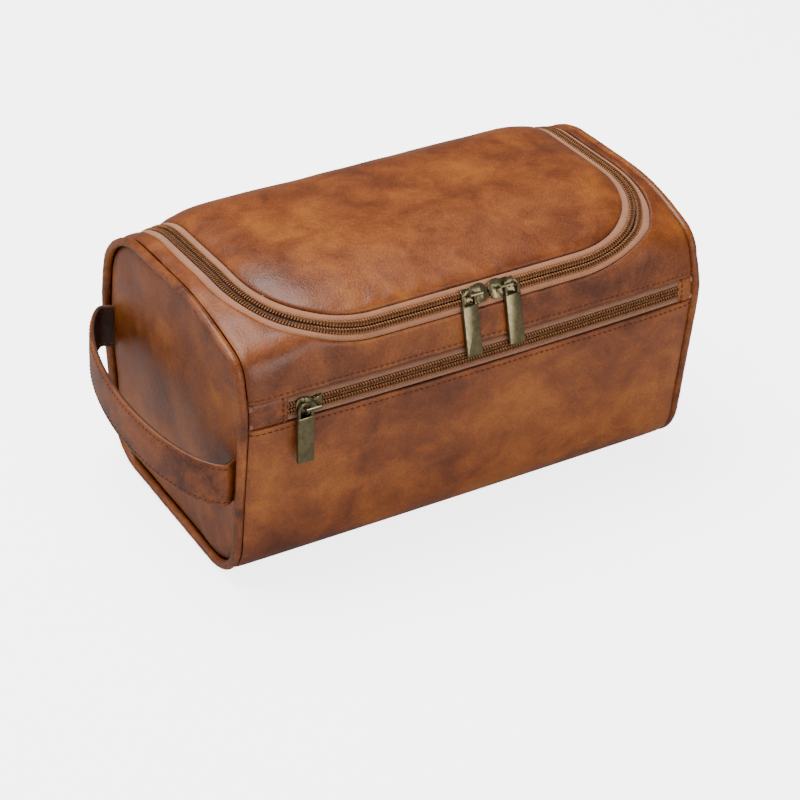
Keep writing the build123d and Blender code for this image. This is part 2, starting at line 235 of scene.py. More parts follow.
@dataclass(frozen=True)
class Leather:
    """Mottled satin leather: dark, middle and amber blotches under a fine pebble grain."""

    name: str
    dark: tuple[float, float, float] = (0.084, 0.0170, 0.0022)
    middle: tuple[float, float, float] = (0.150, 0.0330, 0.0027)
    light: tuple[float, float, float] = (0.205, 0.0490, 0.0032)
    amber: tuple[float, float, float] = (0.275, 0.0780, 0.0034)
    blotch: float = 13.0
    grain: float = 1150.0
    rough: tuple[float, float] = (0.36, 0.52)

    def material(self) -> bpy.types.Material:
        """Builds the leather and returns its material."""
        g = Graph(self.name)
        wide = g.noise(self.blotch, 3, 0.5, 0.5)
        fine = g.noise(self.blotch * 4.2, 5, 0.6, 0.4)
        colour = g.ramp(
            g.blend(0.48, wide, fine),
            ((0.36, self.dark), (0.46, self.middle), (0.54, self.light), (0.64, self.amber)),
        )
        speckle = g.span(g.noise(900, 3, 0.7), 0.66, 1.22)
        g.join(g.darken(colour, speckle), g.shader.inputs["Base Color"])
        g.join(g.span(fine, *self.rough), g.shader.inputs["Roughness"])
        g.relief((
            (g.noise(70, 3, 0.5, 0.8), 0.35, 0.0009),
            (g.noise(260, 4, 0.6, 0.6), 0.30, 0.00022),
            (g.pebbles(self.grain), 0.45, 0.00022),
        ))
        g.set(Specular_IOR_Level=0.42, Coat_Weight=0.08, Coat_Roughness=0.30)
        return g.material


@dataclass(frozen=True)
class Weave:
    """Plain woven cloth or tape, by its colour and its threads to the metre."""

    name: str
    colour: tuple[float, float, float]
    threads: float = 2200.0
    rough: float = 0.85

    def material(self) -> bpy.types.Material:
        """Builds the cloth and returns its material."""
        g = Graph(self.name)
        waves = []
        for axis in ("X", "DIAGONAL"):
            wave = g.add("ShaderNodeTexWave", bands_direction=axis)
            wave.inputs["Scale"].default_value = self.threads / 6
            wave.inputs["Distortion"].default_value = 0.6
            g.join(g.place, wave.inputs["Vector"])
            waves.append(wave.outputs["Fac"])
        weave = g.blend(0.5, *waves)
        shade = tuple(0.72 * part for part in self.colour)
        colour = g.ramp(weave, ((0.25, shade), (0.7, self.colour)))
        g.join(g.darken(colour, g.span(g.noise(90, 4), 0.85, 1.1)), g.shader.inputs["Base Color"])
        g.relief(((weave, 0.5, 0.00025),))
        g.set(Roughness=self.rough, Sheen_Weight=0.25, Sheen_Roughness=0.5)
        return g.material


@dataclass(frozen=True)
class Nylon:
    """Smooth thread or moulded coil, with a little unevenness in its dye; on a coil, painted shade across the middle of
    each turn, with its two ends left bright as painted highlights.
    """

    name: str
    colour: tuple[float, float, float]
    rough: float = 0.42
    painted_turn_shade: bool = False

    def material(self) -> bpy.types.Material:
        """Builds the nylon and returns its material."""
        g = Graph(self.name)
        shade = tuple(0.68 * part for part in self.colour)
        colour = g.ramp(g.noise(350, 3), ((0.35, shade), (0.65, self.colour)))
        # Painted shade and highlight: each coil turn is darkened to about a quarter in the middle of the row and kept
        # bright at its two ends, which stand for the lit beads.
        if self.painted_turn_shade:
            side = g.add("ShaderNodeAttribute")
            side.attribute_name = "side"
            colour = g.darken(colour, g.span(side.outputs["Fac"], 0.26, 1.0, 0.35, 0.95))
        g.join(colour, g.shader.inputs["Base Color"])
        g.join(g.span(g.noise(700, 2), self.rough, self.rough + 0.18), g.shader.inputs["Roughness"])
        g.relief(((g.noise(2600, 2), 0.25, 0.0001),))
        g.set(Specular_IOR_Level=0.2)
        return g.material


@dataclass(frozen=True)
class Brass:
    """Antique brass: an olive patina with brighter, rubbed patches."""

    name: str
    patina: tuple[float, float, float] = (0.170, 0.140, 0.072)
    rubbed: tuple[float, float, float] = (0.270, 0.225, 0.120)

    def material(self) -> bpy.types.Material:
        """Builds the brass and returns its material."""
        g = Graph(self.name)
        wear = g.blend(0.5, g.noise(160, 5, 0.6, 0.5), g.noise(420, 3, 0.5))
        g.join(g.ramp(wear, ((0.38, self.patina), (0.66, self.rubbed))), g.shader.inputs["Base Color"])
        g.join(g.span(g.noise(500, 4), 0.26, 0.40), g.shader.inputs["Roughness"])
        g.relief(((g.noise(1100, 4, 0.6), 0.12, 0.0002),))
        g.set(Metallic=1.0)
        return g.material


@dataclass(frozen=True)
class Board:
    """Plain grey card."""

    name: str

    def material(self) -> bpy.types.Material:
        """Builds the card and returns its material."""
        g = Graph(self.name)
        g.join(g.ramp(g.noise(240, 5), ((0.3, (0.16, 0.15, 0.14)), (0.7, (0.24, 0.23, 0.21)))),
               g.shader.inputs["Base Color"])
        g.relief(((g.noise(900, 3), 0.3, 0.0002),))
        g.set(Roughness=0.8)
        return g.material


@dataclass
class Finishes:
    """Every material of the bag, made once."""

    leather: bpy.types.Material = field(default_factory=lambda: Leather("cognac_leather").material())
    trim: bpy.types.Material = field(default_factory=lambda: Leather(
        "trim_leather", blotch=26, dark=(0.066, 0.0145, 0.003)).material())
    strap: bpy.types.Material = field(default_factory=lambda: Leather(
        "strap_leather", blotch=24, dark=(0.066, 0.0145, 0.003), amber=(0.19, 0.046, 0.005)).material())
    # A darker, matt copy of the strap's leather for its inner face, towards the bag: painted shade.
    strap_inner_shade: bpy.types.Material = field(default_factory=lambda: Leather(
        "strap_back_leather", blotch=20, dark=(0.030, 0.009, 0.004), middle=(0.048, 0.014, 0.005),
        light=(0.060, 0.018, 0.006), amber=(0.075, 0.023, 0.008), rough=(0.7, 0.8)).material())
    tape: bpy.types.Material = field(default_factory=lambda: Weave("zip_tape", (0.36, 0.145, 0.065)).material())
    pocket_tape: bpy.types.Material = field(default_factory=lambda: Weave(
        "pocket_zip_tape", (0.22, 0.085, 0.038)).material())
    # The coil's turns carry painted shade and painted highlights.
    coil: bpy.types.Material = field(default_factory=lambda: Nylon(
        "nylon_coil", (0.52, 0.205, 0.070), painted_turn_shade=True).material())
    # Dark cloth laid under the coil's rows: painted shadow of the coil on its tape.
    under_coil_shade: bpy.types.Material = field(default_factory=lambda: Weave("coil_bed", (0.055, 0.018, 0.008)).material())
    thread: bpy.types.Material = field(default_factory=lambda: Nylon("thread", (0.15, 0.042, 0.012), 0.6).material())
    brass: bpy.types.Material = field(default_factory=lambda: Brass("antique_brass").material())
    lining: bpy.types.Material = field(default_factory=lambda: Weave(
        "lining_cloth", (0.10, 0.055, 0.035), 1700).material())
    board: bpy.types.Material = field(default_factory=lambda: Board("stiffener_board").material())


# ------------------------------------------------------------------ the bag's wall


@dataclass(frozen=True)
class Corner:
    """A corner of the cross-section before rounding, and the radius of its rounding."""

    y: float
    z: float
    radius: float


@dataclass
class Section:
    """The rounded cross-section, as a line that is read by its length from the middle of the base."""

    depth: float = 0.165
    height: float = 0.155
    front_foot: float = 0.0125
    back_foot: float = 0.0105
    front_widest: float = 0.109
    back_widest: float = 0.088
    foot_radius: float = 0.030
    droop: float = 0.0052
    droop_from: float = 0.088
    droop_over: float = 0.046
    sag_foot: float = 0.112
    sag_rise: float = 0.040
    belly: float = 0.0024
    sway: float = 0.0028
    pinch: float = 0.0034
    pinch_spread: float = 0.026
    zip_tilt: float = 35.0
    hinge_angle: float = 14.0
    step: float = 0.0004

    def __post_init__(self) -> None:
        """Works out the rounded line, its outward directions and the places of the zips and the hinge."""
        front, back = -self.depth / 2, self.depth / 2
        corners = (
            Corner(front + self.front_foot, 0, self.foot_radius),
            Corner(front, self.front_widest, 0.060),
            Corner(front + 0.0065, self.height - 0.0115, 0.016),
            Corner(front + 0.0525, self.height, 0.150),
            Corner(back - 0.0125, self.height - 0.005, 0.048),
            Corner(back, self.back_widest, 0.100),
            Corner(back - self.back_foot, 0, self.foot_radius),
        )
        points, normals, self.arcs = [Vector((0, 0))], [Vector((0, -1))], []
        for i, corner in enumerate(corners):
            here = Vector((corner.y, corner.z))
            before = Vector((corners[i - 1].y, corners[i - 1].z))
            after = Vector((corners[(i + 1) % len(corners)].y, corners[(i + 1) % len(corners)].z))
            inward, onward = (before - here).normalized(), (after - here).normalized()
            turn = math.pi - inward.angle(onward)
            start = here + inward * corner.radius * math.tan(turn / 2)
            out = Vector((inward.y, -inward.x))
            centre = start - out * corner.radius
            first = math.atan2(out.y, out.x)
            self.arcs.append((centre, corner.radius, first))
            steps = max(6, int(turn * corner.radius / self.step))
            for k in range(steps + 1):
                angle = first - turn * k / steps
                ray = Vector((math.cos(angle), math.sin(angle)))
                points.append(centre + ray * corner.radius)
                normals.append(ray)
        points.append(Vector((0, 0)))
        normals.append(Vector((0, -1)))
        line = np.array([tuple(p) for p in points])
        self.s = np.concatenate(([0], np.cumsum(np.linalg.norm(np.diff(line, axis=0), axis=1))))
        self.yz, self.out = line, np.array([tuple(n) for n in normals])
        self.length = float(self.s[-1])
        self.zip_s = self.along_arc(2, math.radians(180 - self.zip_tilt))
        self.hinge_s = self.along_arc(4, math.radians(self.hinge_angle))
        self.pocket_s = self.at_height(self.front_widest)
        tilt = math.radians(self.zip_tilt)
        rise = (self.yz - self.at(np.array([self.zip_s]))[0]) @ np.array([math.sin(tilt), math.cos(tilt)])
        near = (self.s > self.pocket_s) & (self.s < self.zip_s + 0.07)
        self.rise, self.rise_s = rise[near], self.s[near]

    def along_arc(self, corner: int, angle: float) -> float:
        """Length along the line at which it faces angle, within a rounded corner."""
        centre, radius, first = self.arcs[corner]
        target = np.array(centre) + radius * np.array([math.cos(angle), math.sin(angle)])
        return float(self.s[np.argmin(np.linalg.norm(self.yz - target, axis=1))])

    def at(self, s: np.ndarray) -> np.ndarray:
        """(Y, Z) of the surface at lengths s."""
        return np.stack([np.interp(s, self.s, self.yz[:, k]) for k in (0, 1)], -1)

    def outward(self, s: np.ndarray) -> np.ndarray:
        """Unit outward directions in (Y, Z) at lengths s."""
        n = np.stack([np.interp(s, self.s, self.out[:, k]) for k in (0, 1)], -1)
        return n / np.linalg.norm(n, axis=-1, keepdims=True)

    def facing(self, s: np.ndarray) -> np.ndarray:
        """Unit outward directions in space at lengths s."""
        out = self.outward(s)
        return np.concatenate([np.zeros_like(out[:, :1]), out], 1)

    def at_height(self, z: float) -> float:
        """Length along the line at which the front stands at height z."""
        top = int(np.argmax(self.yz[:, 1] > self.height - 0.012))
        start = int(np.argmin(self.yz[: top + 1, 1] + 1e-9 * np.arange(top + 1)))
        return float(np.interp(z, self.yz[start:top, 1], self.s[start:top]))

    def at_rise(self, rise: np.ndarray) -> np.ndarray:
        """Length along the line at which the wall stands at a rise over the main zip's front run."""
        return np.interp(rise, self.rise, self.rise_s)

    def points(self, x: np.ndarray, s: np.ndarray, h: np.ndarray) -> np.ndarray:
        """Points in space for places (x, s, h) on the wall."""
        yz = self.at(s) + self.outward(s) * np.asarray(h)[..., None]
        return self.settled(np.concatenate([np.broadcast_to(x, s.shape)[..., None], yz], -1))

    def settled(self, points: np.ndarray) -> np.ndarray:
        """Lets the top of the soft bag down towards its two ends, and its front out between them."""
        along = np.clip((np.abs(points[..., 0]) - self.droop_from) / self.droop_over, 0, 1)
        up = np.clip((points[..., 2] - self.sag_foot) / self.sag_rise, 0, 1)
        up = up**2 * (3 - 2 * up)
        fall = self.droop * along**2 * (3 - 2 * along) * up
        inside = np.clip((HALF_CLOTH - np.abs(points[..., 0])) / 0.0137, 0, 1)
        at_corner = (points[..., 1] + 0.082) ** 2 + (points[..., 2] - 0.142) ** 2
        near_end = np.clip((points[..., 0] - 0.095) / 0.035, 0, 1) ** 2
        rounded = self.pinch * near_end * np.exp(-at_corner / self.pinch_spread**2)
        full = np.clip(1 - (points[..., 0] / 0.128) ** 2, 0, 1)
        belly = np.clip(points[..., 2] / 0.045, 0, 1) * np.clip((0.156 - points[..., 2]) / 0.042, 0, 1)
        moved = points.copy()
        moved[..., 0] += self.sway * inside * up
        moved[..., 2] -= fall + 0.6 * rounded
        moved[..., 1] += 0.8 * rounded
        moved[..., 1] -= self.belly * full * belly * np.clip(-points[..., 1] / 0.05, 0, 1)
        return moved


@dataclass
class ZipPath:
    """The main zip's U-shaped line on the wall, and lines at a distance outside or inside it."""

    wall: Section
    half: float = 0.116
    corner_length: float = 0.057
    corner_rise: float = 0.045
    step: float = 0.0022

    def line(self, spread: float, finer: float = 1.0) -> tuple[np.ndarray, np.ndarray]:
        """The U from the left end of the hinge round the front to its right end.

        Args:
            spread: Distance outside the chain's middle, or inside it if negative.
            finer: How many times the usual number of points.

        Returns:
            x and s of the points, which answer each other from one spread to the next.
        """
        half = self.half + spread
        long, rise = self.corner_length + spread, self.corner_rise + spread
        top = float(self.wall.at_rise(np.array([self.corner_rise]))[0])
        runs = (self.wall.hinge_s - top, 0.078, self.half - self.corner_length)
        count = [max(4, int(n * finer / self.step)) for n in runs]
        back_s = np.linspace(self.wall.hinge_s - 0.0002, top, count[0], endpoint=False)
        turn = np.linspace(0, math.pi / 2, count[1], endpoint=False)
        turn_x = -(half - long) - long * np.cos(turn)
        turn_s = self.wall.at_rise(self.corner_rise - rise * np.sin(turn))
        run_x = np.linspace(-(half - long), 0, count[2])
        run_s = np.full(count[2], float(self.wall.at_rise(np.array([-spread]))[0]))
        x = np.concatenate([np.full(count[0], -half), turn_x, run_x])
        s = np.concatenate([back_s, turn_s, run_s])
        return np.concatenate([x, -x[-2::-1]]), np.concatenate([s, s[-2::-1]])


def spaced(total: float, near: Sequence[float], step: float, both: bool = True) -> np.ndarray:
    """Distances from 0 to total, close together at an edge and even between.

    Args:
        total: The last distance.
        near: Distances wanted near an edge.
        step: Spacing away from the edges.
        both: Whether both ends are edges.

    Returns:
        The distances.
    """
    near = np.array([n for n in near if n < total * (0.45 if both else 0.9)])
    end = total - near[::-1] if both else np.array([total])
    count = max(2, int(round((end[0] - near[-1]) / step)) + 1)
    middle = np.linspace(near[-1], end[0], count)[1:-1]
    return np.concatenate([near, middle, end])


EDGE_ROWS = tuple(MM * n for n in (0, 0.25, 0.6, 1.0, 1.5, 2.1, 2.6, 3.0, 3.4, 4.0, 5.0, 6.5, 8.5))
STITCH_LIFT = 0.0001  # how far a row of stitches stands over the leather that it is sewn in


def rolled_edge(distance: np.ndarray, depth: float, width: float) -> np.ndarray:
    """Drop of a turned edge at a distance from it, round over a width and as deep as depth at the edge."""
    t = np.clip(1 - distance / width, 0, 1)
    return -depth * (1 - np.sqrt(np.maximum(1 - t * t, 0)))


def seam_dip(distance: np.ndarray) -> np.ndarray:
    """How deep leather goes into the lid's rear seam, at a distance from the seam."""
    return 0.0009 * np.exp(-distance / 0.0012)


def thread_trough(distance: np.ndarray, depth: float, middle: float, width: float) -> np.ndarray:
    """The shallow trough that a row of stitches pulls into leather, its middle at a distance from the edge."""
    return -depth * np.exp(-((distance - middle) / width) ** 2)


def waves(points: np.ndarray, scale: float, seed: float) -> np.ndarray:
    """Smooth uneven heights, about -1 to 1, at points in space.

    Args:
        points: The points, as an array whose last axis is X, Y, Z.
        scale: Waves to the metre.
        seed: Shifts the pattern.

    Returns:
        One height for each point.
    """
    flat = points.reshape(-1, 3) * scale + seed
    return np.array([noise.noise(Vector(p)) for p in flat]).reshape(points.shape[:-1]) * 1.6


def edge_distance(x: np.ndarray, s: np.ndarray, border: np.ndarray) -> np.ndarray:
    """How far places (x, s) are from a border line of (x, s) points."""
    a, b = border[:-1], border[1:]
    run = b - a
    size = np.maximum((run**2).sum(1), 1e-12)
    flat = np.stack([x.ravel(), s.ravel()], 1)
    far = np.empty(len(flat))
    for i in range(0, len(flat), 2000):
        gap = flat[i : i + 2000, None] - a[None]
        t = np.clip((gap * run).sum(2) / size, 0, 1)
        far[i : i + 2000] = np.sqrt(((gap - t[..., None] * run) ** 2).sum(2).min(1))
    return far.reshape(x.shape)


def make_object(name: str, points: Sequence, faces: Sequence, materials: Sequence[bpy.types.Material],
                smooth: bool = True) -> bpy.types.Object:
    """Makes a mesh object at the origin with its faces pointing outwards.

    Args:
        name: The piece's name.
        points: Its vertices.
        faces: Its faces, as rows of vertex numbers.
        materials: Its materials; faces start with the first.
        smooth: Whether its faces are shaded smoothly.

    Returns:
        The object.
    """
    mesh = bpy.data.meshes.new(name)
    mesh.from_pydata([tuple(map(float, p)) for p in points], [], [tuple(map(int, f)) for f in faces])
    for material in materials:
        mesh.materials.append(material)
    body = bmesh.new()
    body.from_mesh(mesh)
    bmesh.ops.remove_doubles(body, verts=body.verts, dist=1e-7)
    bmesh.ops.recalc_face_normals(body, faces=body.faces)
    for face in body.faces:
        face.smooth = smooth
    body.to_mesh(mesh)
    body.free()
    obj = bpy.data.objects.new(name, mesh)
    bpy.context.scene.collection.objects.link(obj)
    return obj


def skin(name: str, outer: np.ndarray, inner: np.ndarray, materials: Sequence[bpy.types.Material],
         ring: bool = False) -> bpy.types.Object:
    """A closed sheet of some thickness between two matching grids of points.

    Args:
        name: The piece's name.
        outer: Grid of outer points, rows by columns by 3.
        inner: Grid of inner points of the same shape.
        materials: Its materials.
        ring: Whether the last row joins the first one.

    Returns:
        The object.
    """
    rows, columns = outer.shape[:2]
    count = rows * columns
    index = np.arange(count).reshape(rows, columns)
    if ring:
        index = np.concatenate([index, index[:1]])
    a, b, c, d = index[:-1, :-1], index[1:, :-1], index[1:, 1:], index[:-1, 1:]
    top = np.stack([a, b, c, d], -1).reshape(-1, 4)
    faces = [top, top[:, ::-1] + count]
    borders = [index[:, 0], index[::-1, -1]] if ring else [
        np.concatenate([index[:, 0], index[-1, 1:], index[-2::-1, -1], index[0, -2::-1]])]
    for border in borders:
        faces.append(np.stack([border[:-1], border[:-1] + count, border[1:] + count, border[1:]], -1))
    return make_object(name, np.concatenate([outer.reshape(-1, 3), inner.reshape(-1, 3)]),
                       np.concatenate(faces), materials)


def tube(name: str, rings: np.ndarray, materials: Sequence[bpy.types.Material], closed: bool) -> bpy.types.Object:
    """A solid swept through rings of points, with end faces unless it is closed on itself."""
    count, around = rings.shape[:2]
    index = np.arange(count * around).reshape(count, around)
    if closed:
        index = np.concatenate([index, index[:1]])
    wrapped = np.concatenate([index, index[:, :1]], 1)
    a, b, c, d = wrapped[:-1, :-1], wrapped[1:, :-1], wrapped[1:, 1:], wrapped[:-1, 1:]
    faces = [list(f) for f in np.stack([a, b, c, d], -1).reshape(-1, 4)]
    if not closed:
        faces += [list(index[0]), list(index[-1][::-1])]
    return make_object(name, rings.reshape(-1, 3), faces, materials)


def settle(piece: bpy.types.Object, body: Body, slot: str, *nodes: str) -> bpy.types.Object:
    """Gives a finished piece its body and hides the CAD nodes that it stands for."""
    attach(piece, body.value)
    if nodes:
        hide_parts(*nodes)
    return piece


# ------------------------------------------------------------------ repeated things


class Repeater:
    """A Geometry Nodes tree that sets one small shape again and again along a line."""

    def __init__(self) -> None:
        """Builds the tree, whose line carries an "outward" direction at each point."""
        tree = bpy.data.node_groups.new("repeat_along_line", "GeometryNodeTree")
        face = tree.interface
        face.new_socket("Line", in_out="INPUT", socket_type="NodeSocketGeometry")
        wanted = (("Shape", "NodeSocketObject"), ("Spacing", "NodeSocketFloat"), ("Size", "NodeSocketFloat"),
                  ("Finish", "NodeSocketMaterial"))
        self.sockets = {label: face.new_socket(label, in_out="INPUT", socket_type=kind).identifier
                        for label, kind in wanted}
        face.new_socket("Mesh", in_out="OUTPUT", socket_type="NodeSocketGeometry")
        new, join = tree.nodes.new, tree.links.new
        given, result = new("NodeGroupInput"), new("NodeGroupOutput")
        curve, resample = new("GeometryNodeMeshToCurve"), new("GeometryNodeResampleCurve")
        resample.mode = "LENGTH"
        outward = new("GeometryNodeInputNamedAttribute")
        outward.data_type = "FLOAT_VECTOR"
        outward.inputs["Name"].default_value = "outward"
        stand, face_on = new("FunctionNodeAlignRotationToVector"), new("FunctionNodeAlignRotationToVector")
        stand.axis, face_on.axis, face_on.pivot_axis = "Z", "X", "Z"
        tangent, shape = new("GeometryNodeInputTangent"), new("GeometryNodeObjectInfo")
        place, real = new("GeometryNodeInstanceOnPoints"), new("GeometryNodeRealizeInstances")
        dress = new("GeometryNodeSetMaterial")
        join(given.outputs["Line"], curve.inputs["Mesh"])
        join(curve.outputs["Curve"], resample.inputs["Curve"])
        join(given.outputs["Spacing"], resample.inputs["Length"])
        join(outward.outputs["Attribute"], stand.inputs["Vector"])
        join(stand.outputs["Rotation"], face_on.inputs["Rotation"])
        join(tangent.outputs["Tangent"], face_on.inputs["Vector"])
        join(given.outputs["Shape"], shape.inputs["Object"])
        join(resample.outputs["Curve"], place.inputs["Points"])
        join(shape.outputs["Geometry"], place.inputs["Instance"])
        join(face_on.outputs["Rotation"], place.inputs["Rotation"])
        join(given.outputs["Size"], place.inputs["Scale"])
        join(place.outputs["Instances"], real.inputs["Geometry"])
        join(real.outputs["Geometry"], dress.inputs["Geometry"])
        join(given.outputs["Finish"], dress.inputs["Material"])
        join(dress.outputs["Geometry"], result.inputs["Mesh"])
        self.tree = tree

    def along(self, name: str, lines: Sequence[tuple[np.ndarray, np.ndarray]], shape: bpy.types.Object,
              spacing: float, finish: bpy.types.Material, size: float = 1.0) -> bpy.types.Object:
        """Sets a shape along one or more lines and returns the result as one plain mesh.

        Args:
            name: The piece's name.
            lines: For each line, its points and its outward directions.
            shape: The shape, with X along the line and Z outwards.
            spacing: Distance from one shape to the next.
            finish: Its material.
            size: Scale of the shape.

        Returns:
            The piece.
        """
        points, edges, outward = [], [], []
        for line, out in lines:
            start = len(points)
            points += [tuple(p) for p in line]
            outward += [tuple(n) for n in out]
            edges += [(start + i, start + i + 1) for i in range(len(line) - 1)]
        mesh = bpy.data.meshes.new(name + "_line")
        mesh.from_pydata(points, edges, [])
        attribute = mesh.attributes.new("outward", "FLOAT_VECTOR", "POINT")
        attribute.data.foreach_set("vector", np.array(outward, np.float32).ravel())
        carrier = bpy.data.objects.new(name + "_line", mesh)
        bpy.context.scene.collection.objects.link(carrier)
        modifier = carrier.modifiers.new("repeat", "NODES")
        modifier.node_group = self.tree
        for label, value in (("Shape", shape), ("Spacing", spacing), ("Size", size), ("Finish", finish)):
            modifier[self.sockets[label]] = value
        bpy.context.view_layer.update()
        result = bpy.data.meshes.new_from_object(carrier.evaluated_get(bpy.context.evaluated_depsgraph_get()))
        bpy.data.objects.remove(carrier)
        piece = bpy.data.objects.new(name, result)
        bpy.context.scene.collection.objects.link(piece)
        return piece


@dataclass(frozen=True)
class SmallShapes:
    """The shapes that repeat: a stitch of thread and one turn of a zip's coil."""

    stitch_length: float = 0.0023
    stitch_radius: float = 0.00033
    turn_half_width: float = 0.00112
    turn_half_height: float = 0.00058
    wire_radius: float = 0.00047
    turn_slant: float = 0.00026

    def stitch(self) -> bpy.types.Object:
        """A stitch: a short bowed capsule whose ends go down into the leather."""
        rings = []
        for k in range(9):
            t = k / 8
            angle = math.pi * t
            radius = self.stitch_radius * (0.35 + 0.65 * math.sin(angle) ** 0.5 if 0 < t < 1 else 0.2)
            x = (t - 0.5) * self.stitch_length
            z = self.stitch_radius * (1.1 * math.sin(angle) - 0.55)
            rings.append([(x, radius * 1.25 * math.cos(a), z + radius * math.sin(a))
                          for a in np.linspace(0, 2 * math.pi, 6, endpoint=False)])
        return tube("one_stitch", np.array(rings), [], False)

    def turn(self) -> bpy.types.Object:
        """A coil turn: a slanted oval loop of wire across the row."""
        rings = []
        for a in np.linspace(0, 2 * math.pi, 10, endpoint=False):
            centre = np.array([self.turn_slant * math.sin(a), self.turn_half_width * math.cos(a),
                               self.turn_half_height * math.sin(a)])
            out = np.array([0, math.cos(a), math.sin(a)])
            rings.append([centre + self.wire_radius * (out * math.cos(b) + np.array([1, 0, 0]) * math.sin(b))
                          for b in np.linspace(0, 2 * math.pi, 5, endpoint=False)])
        piece = tube("one_turn", np.array(rings), [], True)
        # The side value, how far across the row each point lies, lets the coil's material paint shade in the turn's
        # middle and highlights at its two ends.
        side = piece.data.attributes.new("side", "FLOAT", "POINT")
        for point, value in zip(piece.data.vertices, side.data):
            value.value = min(1.0, abs(point.co.y) / (self.turn_half_width + self.wire_radius))
        return piece


@dataclass
class Workshop:
    """What every sub-assembly is made with: the wall, the zip's path, the finishes and the repeated shapes."""

    wall: Section
    path: ZipPath
    finish: Finishes
    repeat: Repeater
    stitch: bpy.types.Object
    turn: bpy.types.Object

    @classmethod
    def fitted_out(cls) -> "Workshop":
        """Makes the workshop for this bag."""
        wall, shapes = Section(), SmallShapes()
        shop = cls(wall, ZipPath(wall), Finishes(), Repeater(), shapes.stitch(), shapes.turn())
        for shape in (shop.stitch, shop.turn):
            shape.hide_render = True
        return shop

    def clear_up(self) -> None:
        """Removes the repeated shapes once everything is made."""
        for shape in (self.stitch, self.turn):
            bpy.data.objects.remove(shape)

    def stitches(self, name: str, x: np.ndarray, s: np.ndarray, h: np.ndarray,
                 spacing: float = 0.0032) -> bpy.types.Object:
        """A row of stitches along places (x, s, h) on the wall."""
        line = (self.wall.points(x, s, h), self.wall.facing(s))
        return self.repeat.along(name, [line], self.stitch, spacing, self.finish.thread)


# ------------------------------------------------------------------ leather body


